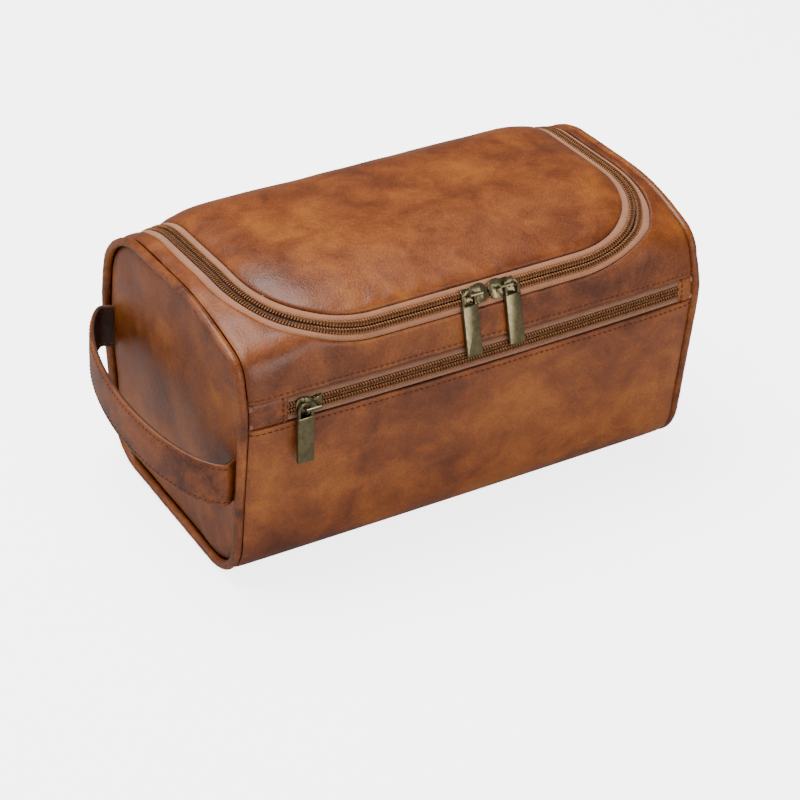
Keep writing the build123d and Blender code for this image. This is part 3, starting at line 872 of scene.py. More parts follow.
@dataclass
class LeatherBody:
    """The leather round the bag: front, base and back in one wrap, and the yoke round the lid."""

    shop: Workshop
    half: float = HALF_CLOTH
    leather: float = 0.0018
    fold: float = 0.0009
    pocket_gap: float = 0.0073
    lid_gap: float = 0.007
    stitch_in: float = 0.003
    yoke_stitch_shift: float = 0.0008

    def rolled(self, distance: np.ndarray) -> np.ndarray:
        """How far the leather's turned edge has dropped, at a distance from the edge."""
        return rolled_edge(distance, self.fold, 1.6 * self.fold)

    def groove(self, distance: np.ndarray) -> np.ndarray:
        """The trough along the stitches beside the pocket's zip."""
        return thread_trough(distance, 0.00028, self.stitch_in, 0.0009)

    def tucked(self, x: np.ndarray, s: np.ndarray, seed: float) -> np.ndarray:
        """How the leather dips and puckers where it is sewn in beside the piping."""
        distance = self.half - np.abs(x)
        dip = -0.0016 * np.exp(-distance / 0.0022)
        pucker = np.exp(-((distance - 0.007) / 0.006) ** 2) * 0.00042
        lines = np.stack([x * 0.25, s, s * 0], -1)
        return dip + pucker * waves(lines, 95, seed)

    def wrap_relief(self, x: np.ndarray, s: np.ndarray) -> np.ndarray:
        """Height of the wrap's outer face over the wall's surface."""
        distance = self.pocket_edge(-1) - s
        space = self.shop.wall.points(x, s, np.zeros_like(x))
        upright = np.clip((space[..., 2] - 0.012) / 0.03, 0, 1)
        soft = 0.00042 * waves(space, 24, 3.1) + 0.00020 * waves(space, 62, 8.4)
        edge = self.rolled(np.maximum(distance, 0)) + self.groove(distance)
        return edge + soft * upright + self.tucked(x, s, 5.0) * (0.35 + 0.65 * upright)

    def yoke_relief(self, x: np.ndarray, s: np.ndarray, inner: np.ndarray, outer: np.ndarray) -> np.ndarray:
        """Height of the yoke's outer face, from its distances to the lid's edge and the pocket's edge."""
        space = self.shop.wall.points(x, s, np.zeros_like(x))
        at_ends = np.clip((np.abs(x) - 0.07) / 0.04, 0, 1)
        soft = (0.00020 + 0.00060 * at_ends) * waves(space, 34, 1.7)
        fullness = 0.0006 * np.clip(inner / 0.012, 0, 1) * at_ends
        pulls = 0.00035 * at_ends * np.exp(-((inner - 0.006) / 0.006) ** 2) * waves(space, 120, 4.4)
        edges = self.rolled(inner) + self.rolled(outer) + self.groove(outer + self.yoke_stitch_shift)
        return edges + soft + fullness + pulls + self.tucked(x, s, 9.0)

    def pocket_edge(self, side: int) -> float:
        """Length round the wall of the leather edge over (1) or under (-1) the pocket's zip."""
        return self.shop.wall.at_height(self.shop.wall.front_widest + side * self.pocket_gap)

    def build_wrap(self) -> None:
        """Makes the front, base and back, from the pocket's lower edge under the bag to the lid's rear seam."""
        wall, shop = self.shop.wall, self.shop
        lower = self.pocket_edge(-1)
        total = lower + (wall.length - wall.hinge_s)
        down = spaced(total, EDGE_ROWS, 0.0021)
        across = spaced(2 * self.half, EDGE_ROWS, 0.0024) - self.half
        x, walked = np.meshgrid(across, down)
        s = lower - walked
        s_round = np.where(s < 0, s + wall.length, s)
        h = self.wrap_relief(x, s)
        h = h - seam_dip(total - walked)
        outer = wall.points(x, s_round, h)
        outer[..., 2] = np.maximum(outer[..., 2], 0.00002)
        inner = wall.points(x, s_round, np.full_like(h, -self.leather))
        piece = skin("body_wrap", outer, inner, [shop.finish.leather])
        settle(piece, Body.BAG, "leather", "front_panel", "base_panel", "back_panel", "body_foam")
        row = np.linspace(-self.half + MM, self.half - MM, 240)
        at = np.full_like(row, lower - self.stitch_in)
        rows = shop.stitches("pocket_lower_stitches", row, at, self.wrap_relief(row, at) + STITCH_LIFT)
        settle(rows, Body.BAG, "leather")

    def build_yoke(self) -> None:
        """Makes the leather between the lid's zip and the pocket, with the strips beside the lid."""
        wall, shop = self.shop.wall, self.shop
        inner_x, inner_s = shop.path.line(self.lid_gap)
        upper = self.pocket_edge(1)
        count = len(inner_x)
        corner = int(np.argmax(inner_s < upper + 0.062))
        share = np.linspace(0, 1, corner, endpoint=False)
        left_s = wall.hinge_s + (upper - wall.hinge_s) * share
        half_front = np.linspace(0, 1, count // 2 - corner + 1)
        ease = inner_x[corner : count // 2 + 1]
        ease = (ease - ease[0]) / (ease[-1] - ease[0])
        front_x = -self.half + self.half * (0.5 * ease + 0.5 * half_front[: len(ease)])
        outer_x = np.concatenate([np.full(corner, -self.half), front_x])
        outer_s = np.concatenate([left_s, np.full(len(front_x), upper)])
        outer_x = np.concatenate([outer_x, -outer_x[-2::-1]])
        outer_s = np.concatenate([outer_s, outer_s[-2::-1]])
        rows = spaced(1.0, tuple(n / 0.022 for n in EDGE_ROWS[:11]), 0.1)
        t = rows[:, None]
        x = inner_x * (1 - t) + outer_x * t
        s = inner_s * (1 - t) + outer_s * t
        lid_side = edge_distance(x, s, np.stack([inner_x, inner_s], 1))
        h = self.yoke_relief(x, s, lid_side, s - upper)
        h = h - seam_dip(wall.hinge_s - s)
        piece = skin("yoke", wall.points(x, s, h), wall.points(x, s, np.full_like(h, -self.leather)),
                     [shop.finish.leather])
        settle(piece, Body.BAG, "leather", "front_yoke")
        row = np.linspace(-self.half + MM, self.half - MM, 240)
        at = np.full_like(row, upper + self.stitch_in - self.yoke_stitch_shift)
        height = self.yoke_relief(row, at, at * 0 + 0.02, at - upper)
        settle(shop.stitches("yoke_stitches", row, at, height + STITCH_LIFT), Body.BAG, "leather")

    def build(self) -> None:
        """Makes all of the leather round the bag."""
        self.build_wrap()
        self.build_yoke()


@dataclass
class BagEnd:
    """One end of the bag: a full, slightly creased leather panel inside a ring of piping."""

    shop: Workshop
    side: Side
    bag_half: float = 0.135
    piping: float = 0.0026
    panel_x: float = 0.1298
    leather: float = 0.0018
    fullness: float = 0.0024

    def build_piping(self) -> None:
        """Makes the piping, a leather-covered cord that is uneven where it turns the corners."""
        wall = self.shop.wall
        s = np.linspace(0, wall.length, 520, endpoint=False)
        yz, out = wall.at(s), wall.outward(s)
        x = self.side.value * (self.bag_half - self.piping)
        middle = np.concatenate([np.full((len(s), 1), x), yz - out * self.piping], 1)
        around = np.linspace(0, 2 * math.pi, 20, endpoint=False)
        lumps = waves(middle, 160, 2.0 + self.side.value)[:, None] * 0.00010
        folds = waves(np.stack([s, s * 0, s * 0], 1), 420, 7.0)[:, None] * 0.00005
        radius = self.piping - 0.00012 + lumps + folds
        outward = wall.facing(s)
        axis = np.array([self.side.value, 0, 0])
        rings = middle[:, None] + radius[..., None] * (
            outward[:, None] * np.cos(around)[None, :, None] + axis * np.sin(around)[None, :, None])
        rings = wall.settled(rings)
        rings[..., 2] = np.maximum(rings[..., 2], 0.00001)
        name = self.side.name.lower()
        piece = tube(f"{name}_end_piping", rings, [self.shop.finish.trim], True)
        settle(piece, Body.BAG, "piping", f"{name}_piping")

    def build_panel(self) -> None:
        """Makes the end panel, full in its middle and drawn in at its seam."""
        wall = self.shop.wall
        s = np.linspace(0, wall.length, 280, endpoint=False)
        rim = wall.at(s) - wall.outward(s) * (2 * self.piping + 0.0001)
        centre = rim.mean(0)
        near = [0, 0.006, 0.014, 0.024, 0.036, 0.05, 0.07, 0.1, 0.14, 0.19]
        rows = np.concatenate([near, np.linspace(0.25, 0.97, 20)])
        yz = rim[None] * (1 - rows[:, None, None]) + centre * rows[:, None, None]
        distance = rows[:, None] * np.linalg.norm(rim - centre, axis=1)[None]
        flat = np.concatenate([np.full(yz.shape[:2] + (1,), self.panel_x), yz], -1)
        radial = np.exp(-((distance - 0.012) / 0.010) ** 2) * 0.00055
        along_rim = np.stack([np.broadcast_to(s, distance.shape), distance * 0.4, distance * 0], -1)
        pulls = radial * waves(along_rim, 60, 3.3)
        lift = (self.fullness * (1 - np.exp(-distance / 0.014)) - 0.0011 * np.exp(-distance / 0.0016)
                + 0.0009 * waves(flat, 26, 6.0 + self.side.value) * np.clip(distance / 0.02, 0, 1) + pulls)
        outer, inner = (wall.settled(np.concatenate([x[..., None], yz], -1)) for x in (
            self.side.value * (self.panel_x + self.leather + lift), np.full_like(lift, self.side.value * self.panel_x)))
        columns = len(s)
        points = np.concatenate([outer.reshape(-1, 3), [[outer[-1, :, 0].mean(), *centre]],
                                 inner.reshape(-1, 3), [[self.side.value * self.panel_x, *centre]]])
        count = outer.shape[0] * columns + 1
        faces = []
        for base in (0, count):
            for r in range(outer.shape[0] - 1):
                for c in range(columns):
                    n = (c + 1) % columns
                    faces.append((base + r * columns + c, base + (r + 1) * columns + c,
                                  base + (r + 1) * columns + n, base + r * columns + n))
            last = base + (outer.shape[0] - 1) * columns
            faces += [(last + c, base + count - 1, last + (c + 1) % columns) for c in range(columns)]
        faces += [(c, count + c, count + (c + 1) % columns, (c + 1) % columns) for c in range(columns)]
        name = self.side.name.lower()
        piece = make_object(f"{name}_end", points, faces, [self.shop.finish.leather])
        settle(piece, Body.BAG, "leather", f"{name}_end_panel")

    def build(self) -> None:
        """Makes the end's panel and piping."""
        self.build_panel()
        self.build_piping()


# ------------------------------------------------------------------ lid


@dataclass
class Lid:
    """The padded leather lid."""

    shop: Workshop
    edge: float = -0.007
    leather: float = 0.0018
    fold: float = 0.0009
    crown: float = 0.0022
    step: float = 0.0028

    def grid(self, edge: float) -> tuple[np.ndarray, np.ndarray]:
        """Places (x, s) over the lid inside the line at a spread from the zip, close together at its edge."""
        wall = self.shop.wall
        line_x, line_s = self.shop.path.line(edge, 2.0)
        size = np.concatenate([[0], np.cumsum(np.hypot(np.diff(line_x), np.diff(line_s)))])
        top = float(wall.at_rise(np.array([self.shop.path.corner_rise]))[0])
        turned = int(np.argmax(line_s <= top - 0.024))
        turn_at, total = size[turned], size[-1]
        side = spaced(turn_at, EDGE_ROWS, self.step, both=False)[::-1]
        across = turn_at + spaced(total - 2 * turn_at, EDGE_ROWS, self.step)
        left, front = (np.stack([np.interp(at, size, line_x), np.interp(at, size, line_s)], 1)
                       for at in (turn_at - side[::-1], across))
        right = left * np.array([-1, 1])
        v = (side[::-1] - side[-1]) / (side[0] - side[-1])
        u = (across - across[0]) / (across[-1] - across[0])
        back = left[-1] * (1 - u[:, None]) + right[-1] * u[:, None]
        u, v = u[None, :, None], v[:, None, None]
        blend = ((1 - v) * front[None] + v * back[None] + (1 - u) * left[:, None] + u * right[:, None]
                 - (1 - u) * (1 - v) * front[0] - u * (1 - v) * front[-1] - (1 - u) * v * back[0] - u * v * back[-1])
        return blend[..., 0], blend[..., 1]

    def build(self) -> None:
        """Makes the lid's cover, which stands proud like a thin cushion."""
        wall, shop = self.shop.wall, self.shop
        x, s = self.grid(self.edge)
        border = np.stack(shop.path.line(self.edge), 1)
        distance = edge_distance(x, s, border)
        space = wall.points(x, s, np.zeros_like(x))
        turned = rolled_edge(distance, self.fold, 1.8 * self.fold)
        body = np.clip(distance / 0.03, 0, 1)
        puckers = 0.00030 * np.exp(-((distance - 0.005) / 0.004) ** 2) * waves(space, 150, 2.2)
        h = (turned + self.crown * (1 - np.exp(-distance / 0.0075)) + 0.0007 * body * waves(space, 16, 5.5)
             + 0.00025 * body * waves(space, 48, 1.2) + puckers)
        seam = wall.hinge_s - s
        h = np.where(seam < 0.02, h * np.clip(seam / 0.02, 0, 1) ** 0.6, h) - seam_dip(seam)
        cover = skin("lid_cover", wall.points(x, s, h), wall.points(x, s, np.minimum(h, 0) - self.leather),
                     [shop.finish.leather])
        settle(cover, Body.LID, "leather", "lid_panel", "lid_foam")


# ------------------------------------------------------------------ zips


@dataclass
class ZipTapes:
    """The woven tapes and coils of both zips, and the leather tabs at the pocket's ends."""

    shop: Workshop
    row_middle: float = 0.00188
    row_height: float = -0.00105
    pitch: float = 0.00156
    tape_edge: float = 0.00025
    tape_half: float = 0.0108
    half: float = HALF_CLOTH
    left_tab: float = 0.0205
    right_tab: float = 0.0098
    tab_stitch: float = 0.0026
    cap_stitch: float = 0.0021
    cap_length: float = 0.0142

    def profile(self) -> list[tuple[float, float]]:
        """The tape's cross-section as (distance from the chain's middle, height) points."""
        top = [(self.tape_edge / MM, -2.25), (3.1, -2.2), (3.5, -1.25), (4.0, -0.8), (4.9, -0.62), (5.9, -0.7),
               (6.6, -1.15), (7.0, -1.8), (7.5, -2.05), (self.tape_half / MM, -2.1)]
        under = [(d, h - 0.45) for d, h in top[::-1]]
        return [(d * MM, h * MM) for d, h in top + under]

    def tape(self, name: str, rings: list[np.ndarray], cloth: bpy.types.Material) -> bpy.types.Object:
        """A tape whose strip under the coil is dark as painted shadow of the coil, from one line of points for each
        point of its profile.
        """
        piece = tube(name, np.stack(rings, 1), [cloth, self.shop.finish.under_coil_shade], False)
        # Painted shadow: the faces between the profile's first two points, under the coil, take the dark cloth.
        for face in piece.data.polygons:
            if all(corner % len(rings) < 2 for corner in face.vertices):
                face.material_index = 1
        return piece

    def build_main(self) -> None:
        """Makes the main zip's two tapes and two rows of coil."""
        wall, shop = self.shop.wall, self.shop
        for body, sign, label in ((Body.BAG, 1, "body"), (Body.LID, -1, "lid")):
            rings = []
            for distance, height in self.profile():
                x, s = shop.path.line(sign * distance)
                rings.append(wall.points(x, s, np.full_like(x, height)))
            piece = self.tape(f"{label}_tape", rings, shop.finish.tape)
            settle(piece, body, "zip_tape", f"{label}_zip_tape")
            x, s = shop.path.line(sign * self.row_middle)
            line = (wall.points(x, s, np.full_like(x, self.row_height)), wall.facing(s))
            row = shop.repeat.along(f"{label}_coil", [line], shop.turn, self.pitch, shop.finish.coil)
            settle(row, body, "zip_coil", f"{label}_zip_coil")

    def build_pocket(self) -> None:
        """Makes the pocket zip's tapes and rows of coil, straight along the front."""
        wall, shop = self.shop.wall, self.shop
        middle = wall.pocket_s
        x = np.linspace(-self.half, self.half, 220)
        for sign, label in ((1, "upper"), (-1, "lower")):
            rings = [wall.points(x, np.full_like(x, middle + sign * d), np.full_like(x, h - 0.0002))
                     for d, h in self.profile()]
            piece = self.tape(f"pocket_{label}_tape_cloth", rings, shop.finish.pocket_tape)
            settle(piece, Body.BAG, "zip_tape", f"pocket_{label}_tape")
            run = np.linspace(-self.half + self.left_tab, self.half - self.right_tab, 200)
            s = np.full_like(run, middle + sign * self.row_middle)
            line = (wall.points(run, s, np.full_like(run, self.row_height)), wall.facing(s))
            row = shop.repeat.along(f"pocket_{label}_turns", [line], shop.turn, self.pitch, shop.finish.coil)
            settle(row, Body.BAG, "zip_coil", f"pocket_{label}_coil")

    def build_tabs(self) -> None:
        """Makes the leather tabs over the pocket zip's ends, stitched beside their inner edges."""
        wall, shop = self.shop.wall, self.shop
        for sign, width, label in ((-1, self.left_tab, "left"), (1, self.right_tab, "right")):
            along = spaced(width, EDGE_ROWS[:9], 0.0015, both=False)
            up = spaced(0.0164, EDGE_ROWS[:4], 0.0015) - 0.0082
            inset, rise = np.meshgrid(along, up)
            x = sign * (self.half - width + inset)
            s = wall.pocket_s + rise
            h = (-0.00035 + rolled_edge(inset, 0.0008, 0.0014) + thread_trough(inset, 0.0002, self.tab_stitch, 0.0008)
                 + 0.00012 * waves(wall.points(x, s, np.zeros_like(x)), 90, 2.0)
                 - 0.0012 * np.exp(-(width - inset) / 0.002) - 0.0011 * np.clip((np.abs(rise) - 0.0066) / 0.001, 0, 1))
            piece = skin(f"{label}_zip_tab", wall.points(x, s, h), wall.points(x, s, np.full_like(h, -0.0021)),
                         [shop.finish.trim])
            settle(piece, Body.BAG, "trim_leather", f"pocket_{label}_tab")
            across = wall.pocket_s + np.linspace(-0.0064, 0.0064, 20)
            stitch_x = np.full_like(across, sign * (self.half - width + self.tab_stitch))
            rows = shop.stitches(f"{label}_tab_stitches", stitch_x, across, np.full_like(across, -0.0004), 0.0027)
            settle(rows, Body.BAG, "trim_leather")

    def build_caps(self) -> None:
        """Makes the leather caps over the rear ends of the main zip, stitched round."""
        wall, shop = self.shop.wall, self.shop
        for node, sign in (("left_zip_cap", -1), ("right_zip_cap", 1)):
            low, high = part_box(node)
            top = wall.hinge_s + 0.0017
            along = spaced(high.x - low.x, EDGE_ROWS[:6], 0.002)
            down = spaced(self.cap_length, EDGE_ROWS[:6], 0.002)
            right, fall = np.meshgrid(along, down)
            inset = np.minimum(np.minimum(right, (high.x - low.x) - right), np.minimum(fall, self.cap_length - fall))
            x, s = low.x + right, top + fall
            h = (0.0012 + rolled_edge(inset, 0.0007, 0.0011) + thread_trough(inset, 0.00016, self.cap_stitch, 0.0007))
            under = wall.points(x, s, np.full_like(h, 0.00001))
            piece = skin(node.replace("zip_cap", "cap"), wall.points(x, s, h), under, [shop.finish.trim])
            settle(piece, Body.BAG, "trim_leather", node)
            a, b = low.x + self.cap_stitch, high.x - self.cap_stitch
            c, d = top + self.cap_stitch, top + self.cap_length - self.cap_stitch
            lap = np.linspace(0, 4, 121)
            lap_x = np.interp(lap, (0, 1, 2, 3, 4), (a, b, b, a, a))
            lap_s = np.interp(lap, (0, 1, 2, 3, 4), (c, c, d, d, c))
            height = np.full_like(lap_x, 0.00115)
            rows = shop.stitches(node.replace("zip_cap", "cap_stitches"), lap_x, lap_s, height, 0.0027)
            settle(rows, Body.BAG, "trim_leather")

    def build(self) -> None:
        """Makes both zips and their trim."""
        self.build_main()
        self.build_pocket()
        self.build_tabs()
        self.build_caps()


# ------------------------------------------------------------------ strap


@dataclass
class Strap:
    """The bowed side handle: two layers of leather stitched along both edges."""

    shop: Workshop
    bow: float = 0.030
    root_x: float = -0.1316
    width: float = 0.026
    layer: float = 0.0014
    swell: float = 0.005
    stitch_in: float = 0.0025

    def __post_init__(self) -> None:
        """Takes the strap's place and tilt from the CAD strap's two sewn ends."""
        middles = [(low + high) / 2 for low, high in (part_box("handle_front_end"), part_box("handle_back_end"))]
        self.middle = (middles[0] + middles[1]) / 2
        span = middles[1] - middles[0]
        self.seat = span.length / 2
        self.along = np.array([0, span.y, span.z]) / span.length
        self.up = np.array([0, -self.along[2], self.along[1]])

    def centre_line(self, count: int = 200) -> tuple[np.ndarray, np.ndarray]:
        """The strap's middle line from the front seam to the back seam, and its outward directions."""
        turn = np.linspace(0, math.pi, count)
        turn = turn - 0.12 * np.sin(2 * turn)
        x = self.root_x - self.bow * np.sin(turn)
        reach_out = -(self.seat + self.swell) * np.cos(turn)
        reach = np.clip((self.root_x - x) / 0.010, 0, 1)
        hold = 1 - reach * reach * (3 - 2 * reach)
        reach_out = reach_out * (1 - hold) + np.sign(reach_out) * self.seat * hold
        run_x, run_y = np.gradient(x), np.gradient(reach_out)
        size = np.hypot(run_x, run_y)
        line = np.stack([x, x * 0, x * 0], 1) + reach_out[:, None] * self.along
        line += np.array([0, self.middle.y, self.middle.z])
        out = np.stack([-run_y / size, x * 0, x * 0], 1) + (run_x / size)[:, None] * self.along
        return line, out

    def profile(self) -> list[tuple[float, float]]:
        """The strap's cross-section as (outward, upward) points, with a groove between its layers."""
        half, thick = self.width / 2, self.layer
        up = [(thick * 0.90, 0), (thick * 0.92, half - 0.0060), (thick * 0.88, half - 0.0036),
              (thick * 0.72, half - self.stitch_in), (thick * 0.92, half - 0.0014), (thick * 0.80, half - 0.0004),
              (thick * 0.45, half), (thick * 0.10, half - 0.0001), (0, half - 0.0004), (-thick * 0.10, half - 0.0001),
              (-thick * 0.45, half), (-thick * 0.80, half - 0.0004), (-thick * 0.92, half - 0.0014),
              (-thick * 0.76, half - self.stitch_in), (-thick * 0.90, half - 0.0036), (-thick * 0.9, 0)]
        return up + [(n, -z) for n, z in up[-2:0:-1]]

    def build(self) -> None:
        """Makes the strap and its stitches, which bend beside the seams with the strap's bow."""
        shop = self.shop
        line, out = self.centre_line()
        sway = 0.0006 * waves(line, 22, 4.0)
        rings = []
        for n, z in self.profile():
            cup = -0.0005 * (abs(z) / (self.width / 2)) ** 2
            rings.append(line + out * (n + cup + sway)[:, None] + self.up * z)
        piece = tube("side_strap", np.stack(rings, 1), [shop.finish.strap, shop.finish.strap_inner_shade], False)
        # Faces on the strap's inner side, towards the bag, take the darker copy of its leather as painted shade.
        for polygon in piece.data.polygons:
            place = polygon.center
            nearest = int(np.argmin(((line - np.array(place)) ** 2).sum(1)))
            side = float(np.dot(np.array(place) - line[nearest], out[nearest]) - sway[nearest])
            polygon.material_index = 1 if side < -0.0004 else 0
        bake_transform(piece)
        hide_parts("side_handle_outer", "side_handle_inner", "handle_front_end", "handle_back_end")
        lines = []
        for z in (-1, 1):
            for face in (1, -1):
                lift = face * self.layer * 0.76 - 0.0003
                where = line + out * (lift + sway)[:, None] + self.up * (z * (self.width / 2 - self.stitch_in))
                lines.append((where[4:-4], face * out[4:-4]))
        rows = shop.repeat.along("strap_stitches", lines, shop.stitch, 0.0032, shop.finish.thread)
        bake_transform(rows)


# ------------------------------------------------------------------ hardware


@dataclass
class Hardware:
    """The brass sliders and pullers, with their edges eased."""

    shop: Workshop
    slider_ease: float = 0.00022
    puller_ease: float = 0.00032

    def eased(self, node: str, body: str, width: float) -> None:
        """Copies a CAD piece, joins its triangles into flat faces and rounds its edges."""
        source = frame["nodes"][node]
        mesh = source.data.copy()
        shape = bmesh.new()
        shape.from_mesh(mesh)
        bmesh.ops.remove_doubles(shape, verts=shape.verts, dist=2e-6)
        bmesh.ops.dissolve_limit(shape, angle_limit=math.radians(2), verts=shape.verts, edges=shape.edges)
        shape.to_mesh(mesh)
        shape.free()
        mesh.materials.clear()
        mesh.materials.append(self.shop.finish.brass)
        piece = bpy.data.objects.new(node.replace("slider", "slide").replace("puller", "pull"), mesh)
        bpy.context.scene.collection.objects.link(piece)
        ease = piece.modifiers.new("ease", "BEVEL")
        ease.width, ease.segments, ease.limit_method, ease.angle_limit = width, 2, "ANGLE", math.radians(32)
        ease.use_clamp_overlap, ease.harden_normals = True, True
        result = bpy.data.meshes.new_from_object(piece.evaluated_get(bpy.context.evaluated_depsgraph_get()))
        piece.modifiers.clear()
        piece.data = result
        for polygon in result.polygons:
            polygon.use_smooth = True
        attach(piece, body)
        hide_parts(node)

    def build(self) -> None:
        """Makes all six pieces."""
        for where in ("main_left", "main_right", "pocket"):
            self.eased(f"{where}_slider", f"{where}_slider_body", self.slider_ease)
            self.eased(f"{where}_puller", f"{where}_puller_body", self.puller_ease)


# ------------------------------------------------------------------ inside


@dataclass
class Interior:
    """The lining, the pocket's pouch and the stiff base."""

    shop: Workshop
    depth: float = 0.0053
    cloth: float = 0.0006
    half: float = 0.1277
    mouth: float = 0.0095
    lid_depth: float = 0.0047
    fold_half: float = 0.1155
    fold_reach: float = 0.010
    fold_depth: float = 0.0031

    def sheet(self, name: str, x: np.ndarray, s: np.ndarray, depth: float, body: Body,
              *nodes: str) -> bpy.types.Object:
        """A sheet of lining at a depth inside the wall, a little slack."""
        wall = self.shop.wall
        s_round = np.where(s < 0, s + wall.length, s)
        slack = -0.0006 * (1 + waves(wall.points(x, s_round, np.zeros_like(x)), 30, 2.5)) * 0.5
        outer = wall.points(x, s_round, -depth + slack)
        piece = skin(name, outer, wall.points(x, s_round, -depth - self.cloth + slack), [self.shop.finish.lining])
        return settle(piece, body, "lining_cloth", *nodes)

    def build_body(self) -> None:
        """Makes the cloth round the inside of the wall and the strip between it and the zip."""
        wall = self.shop.wall
        upper = wall.at_height(wall.front_widest + 0.005)
        length = upper + wall.length - wall.hinge_s - 0.001
        x, walked = np.meshgrid(np.linspace(-self.half, self.half, 90), np.linspace(0, length, 150))
        wrap = self.sheet("lining_wrap", x, upper - walked, self.depth, Body.BAG, "body_lining")
        inner_x, inner_s = self.shop.path.line(self.mouth)
        ease = np.clip((np.abs(inner_x) - 0.06) / 0.05, 0, 1)
        outer_x = inner_x * (1 - ease) + np.sign(inner_x) * self.half * ease
        risen = (inner_s - inner_s.min()) / (inner_s.max() - inner_s.min())
        outer_s = upper + risen * (wall.hinge_s - upper)
        t = np.linspace(0, 1, 9)[:, None]
        mouth = self.sheet("lining_mouth", inner_x * (1 - t) + outer_x * t, inner_s * (1 - t) + outer_s * t,
                           self.depth, Body.BAG)

    def build_lid(self) -> None:
        """Makes the cloth inside the lid and its fold inside the hinge seam."""
        wall = self.shop.wall
        x, s = Lid(self.shop).grid(-self.mouth)
        inside = self.sheet("lid_inside", x, s, self.lid_depth, Body.LID, "lid_lining")
        across, along = np.meshgrid(np.linspace(-self.fold_half, self.fold_half, 70),
                                    wall.hinge_s + np.linspace(self.fold_reach, -self.fold_reach, 21))
        fold = skin("hinge_lining", wall.points(across, along, np.full_like(along, -self.fold_depth)),
                    wall.points(across, along, np.full_like(along, -self.fold_depth - 0.0004)),
                    [self.shop.finish.lining])
        below, above = wall.at(wall.hinge_s + np.array([0.5, -0.5]) * self.fold_reach)
        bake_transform(fold)

    def build_end(self, side: Side) -> None:
        """Makes the cloth over the inside of an end panel, with closed faces from its rim to its middle."""
        wall = self.shop.wall
        s = np.linspace(0, wall.length, 160, endpoint=False)
        rim = wall.at(s) - wall.outward(s) * (self.depth + 0.0004)
        rows = np.append(np.linspace(0, 0.96, 18), (0.995, 0.9995))[:, None, None]
        yz = rim[None] * (1 - rows) + rim.mean(0) * rows
        flat = np.concatenate([np.full(yz.shape[:2] + (1,), self.half), yz], -1)
        dent = 0.0006 * waves(flat, 30, 1.0)
        inner = np.concatenate([(side.value * (self.half - 0.0012 - dent))[..., None], yz], -1)
        outer = inner + np.array([side.value * self.cloth, 0, 0])
        loop = wall.settled(np.concatenate([outer, inner[::-1]]))
        count, columns = loop.shape[:2]
        index = np.arange(count * columns).reshape(count, columns)
        wrapped = np.concatenate([index, index[:, :1]], 1)
        corners = wrapped[:-1, :-1], wrapped[1:, :-1], wrapped[1:, 1:], wrapped[:-1, 1:]
        faces = [list(face) for face in np.stack(corners, -1).reshape(-1, 4)]
        first, last = wrapped[0], wrapped[-1]
        faces += [[first[i], first[i + 1], last[i + 1], last[i]] for i in range(columns)]
        piece = make_object(f"lining_{side.name.lower()}", loop.reshape(-1, 3), faces, [self.shop.finish.lining])
        settle(piece, Body.BAG, "lining_cloth")

    def build_pouch(self) -> None:
        """Makes the flat pocket pouch behind the front panel."""
        wall = self.shop.wall
        x, z = np.meshgrid(np.linspace(-0.109, 0.109, 70), np.linspace(0.0315, 0.0955, 26))
        s = np.array([wall.at_height(float(v)) for v in z[:, 0]])[:, None] + 0 * x
        pouch = skin("pouch", wall.points(x, s, -0.0022 + 0.0001 * waves(wall.points(x, s, 0 * x), 40, 3.0)),
                     wall.points(x, s, 0 * x - 0.0029), [self.shop.finish.lining])
        settle(pouch, Body.BAG, "lining_cloth", "pocket_pouch")

    def build(self) -> None:
        """Makes the cloth inside the body and the lid, and dresses the board."""
        self.build_body()
        self.build_lid()
        for side in Side:
            self.build_end(side)
        self.build_pouch()
        board = frame["nodes"]["base_board"]
        board.data.materials.clear()
        board.data.materials.append(self.shop.finish.board)


# ------------------------------------------------------------------ studio


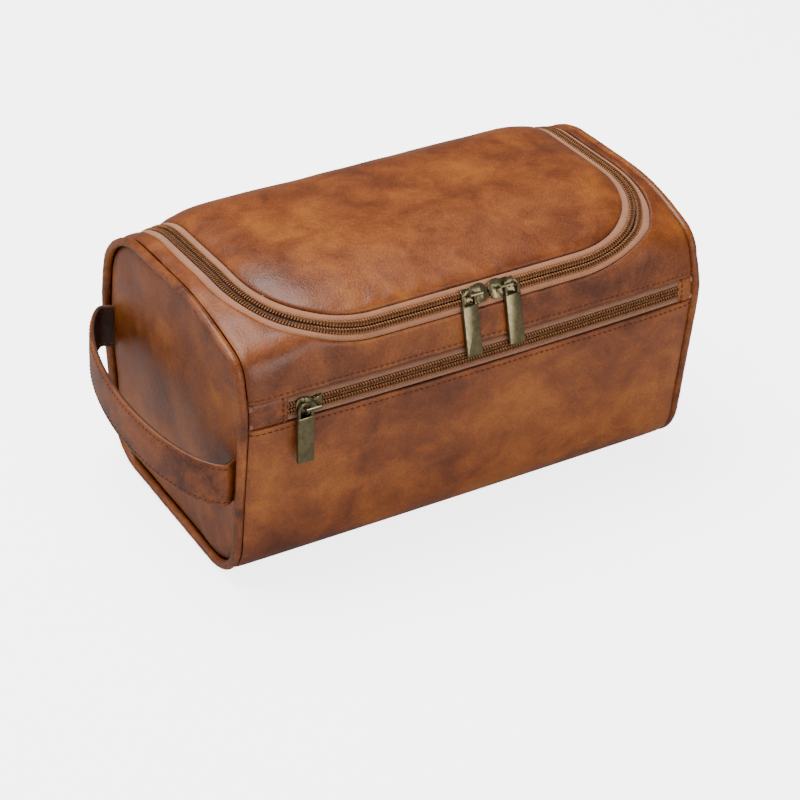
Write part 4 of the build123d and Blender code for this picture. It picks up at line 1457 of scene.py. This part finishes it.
@dataclass
class Studio:
    """A plain pale floor, soft lights and the camera."""

    eye: tuple[float, float, float] = (-0.59424, -0.99775, 0.81488)
    heading: float = 30.8677
    down: float = 34.0156
    roll: float = 1.5711
    lens: float = 117.0

    def build_camera(self) -> None:
        """Sets the camera over the bag's front left corner."""
        data = bpy.data.cameras.new("camera")
        data.lens, data.sensor_width = self.lens, 36
        data.clip_start, data.clip_end = 0.05, 20
        camera = bpy.data.objects.new("camera", data)
        bpy.context.scene.collection.objects.link(camera)
        turn = (Matrix.Rotation(math.radians(-self.heading), 4, "Z")
                @ Matrix.Rotation(math.radians(90 - self.down), 4, "X")
                @ Matrix.Rotation(math.radians(self.roll), 4, "Z"))
        camera.matrix_world = Matrix.Translation(Vector(self.eye)) @ turn
        bpy.context.scene.camera = camera

    def softbox(self, name: str, place: Sequence[float], aim: Sequence[float], size: Sequence[float],
                power: float) -> None:
        """Hangs a soft white light at a place, facing a point."""
        data = bpy.data.lights.new(name, "AREA")
        data.shape, data.size, data.size_y = "RECTANGLE", size[0], size[1]
        data.energy = power
        light = bpy.data.objects.new(name, data)
        light.location = place
        light.rotation_euler = (Vector(aim) - Vector(place)).to_track_quat("-Z", "Y").to_euler()
        bpy.context.scene.collection.objects.link(light)

    def build(self) -> None:
        """Makes the floor, the lights and the camera."""
        size = 4.0
        floor = make_object("floor", [(-size, -size, 0), (size, -size, 0), (size, size, 0), (-size, size, 0)],
                            [(0, 1, 2, 3)], [])
        floor.location.z = -0.00005
        g = Graph("pale_floor")
        paper = g.ramp(g.noise(2), ((0.3, (0.93, 0.93, 0.93)), (0.7, (0.96, 0.96, 0.96))))
        rays = g.add("ShaderNodeLightPath")
        dimmed = g.span(rays.outputs["Is Glossy Ray"], 1.0, 0.22, 0.0, 1.0)
        g.join(g.darken(paper, dimmed), g.shader.inputs["Base Color"])
        g.set(Roughness=0.9, Specular_IOR_Level=0.1, Emission_Color=(1, 1, 1, 1))
        g.join(g.span(rays.outputs["Is Camera Ray"], 0.15, 3.8, 0.0, 1.0), g.shader.inputs["Emission Strength"])
        floor.data.materials.append(g.material)
        world = bpy.data.worlds.new("studio")
        world.use_nodes = True
        world.node_tree.nodes["Background"].inputs["Color"].default_value = (1, 1, 1, 1)
        tree = world.node_tree
        mirrored, strength = tree.nodes.new("ShaderNodeLightPath"), tree.nodes.new("ShaderNodeMapRange")
        strength.inputs["To Min"].default_value, strength.inputs["To Max"].default_value = 0.5, 0.22
        tree.links.new(mirrored.outputs["Is Glossy Ray"], strength.inputs["Value"])
        tree.links.new(strength.outputs["Result"], tree.nodes["Background"].inputs["Strength"])
        bpy.context.scene.world = world
        middle = (0, 0, 0.07)
        self.softbox("top_light", (-0.25, 0.25, 1.5), middle, (1.1, 0.8), 34)
        self.softbox("left_light", (-1.4, 0.9, 0.9), middle, (0.7, 0.7), 7)
        self.softbox("front_light", (0.3, -1.7, 0.8), middle, (1.2, 0.8), 15)
        self.build_camera()


def main() -> None:
    """Makes every sub-assembly in order and reports each piece."""
    logging.basicConfig(level=logging.INFO, format="%(name)s: %(message)s")
    shop = Workshop.fitted_out()
    parts = (Studio(), LeatherBody(shop), BagEnd(shop, Side.LEFT), BagEnd(shop, Side.RIGHT), Lid(shop),
             ZipTapes(shop), Strap(shop), Hardware(shop), Interior(shop))
    for part in parts:
        known = set(bpy.data.objects)
        part.build()
        for piece in sorted(set(bpy.data.objects) - known, key=lambda o: o.name):
            if piece.type == "MESH":
                log.info("%s: %s, %d faces", type(part).__name__, piece.name, len(piece.data.polygons))
    shop.clear_up()


if __name__ == "__main__":
    main()
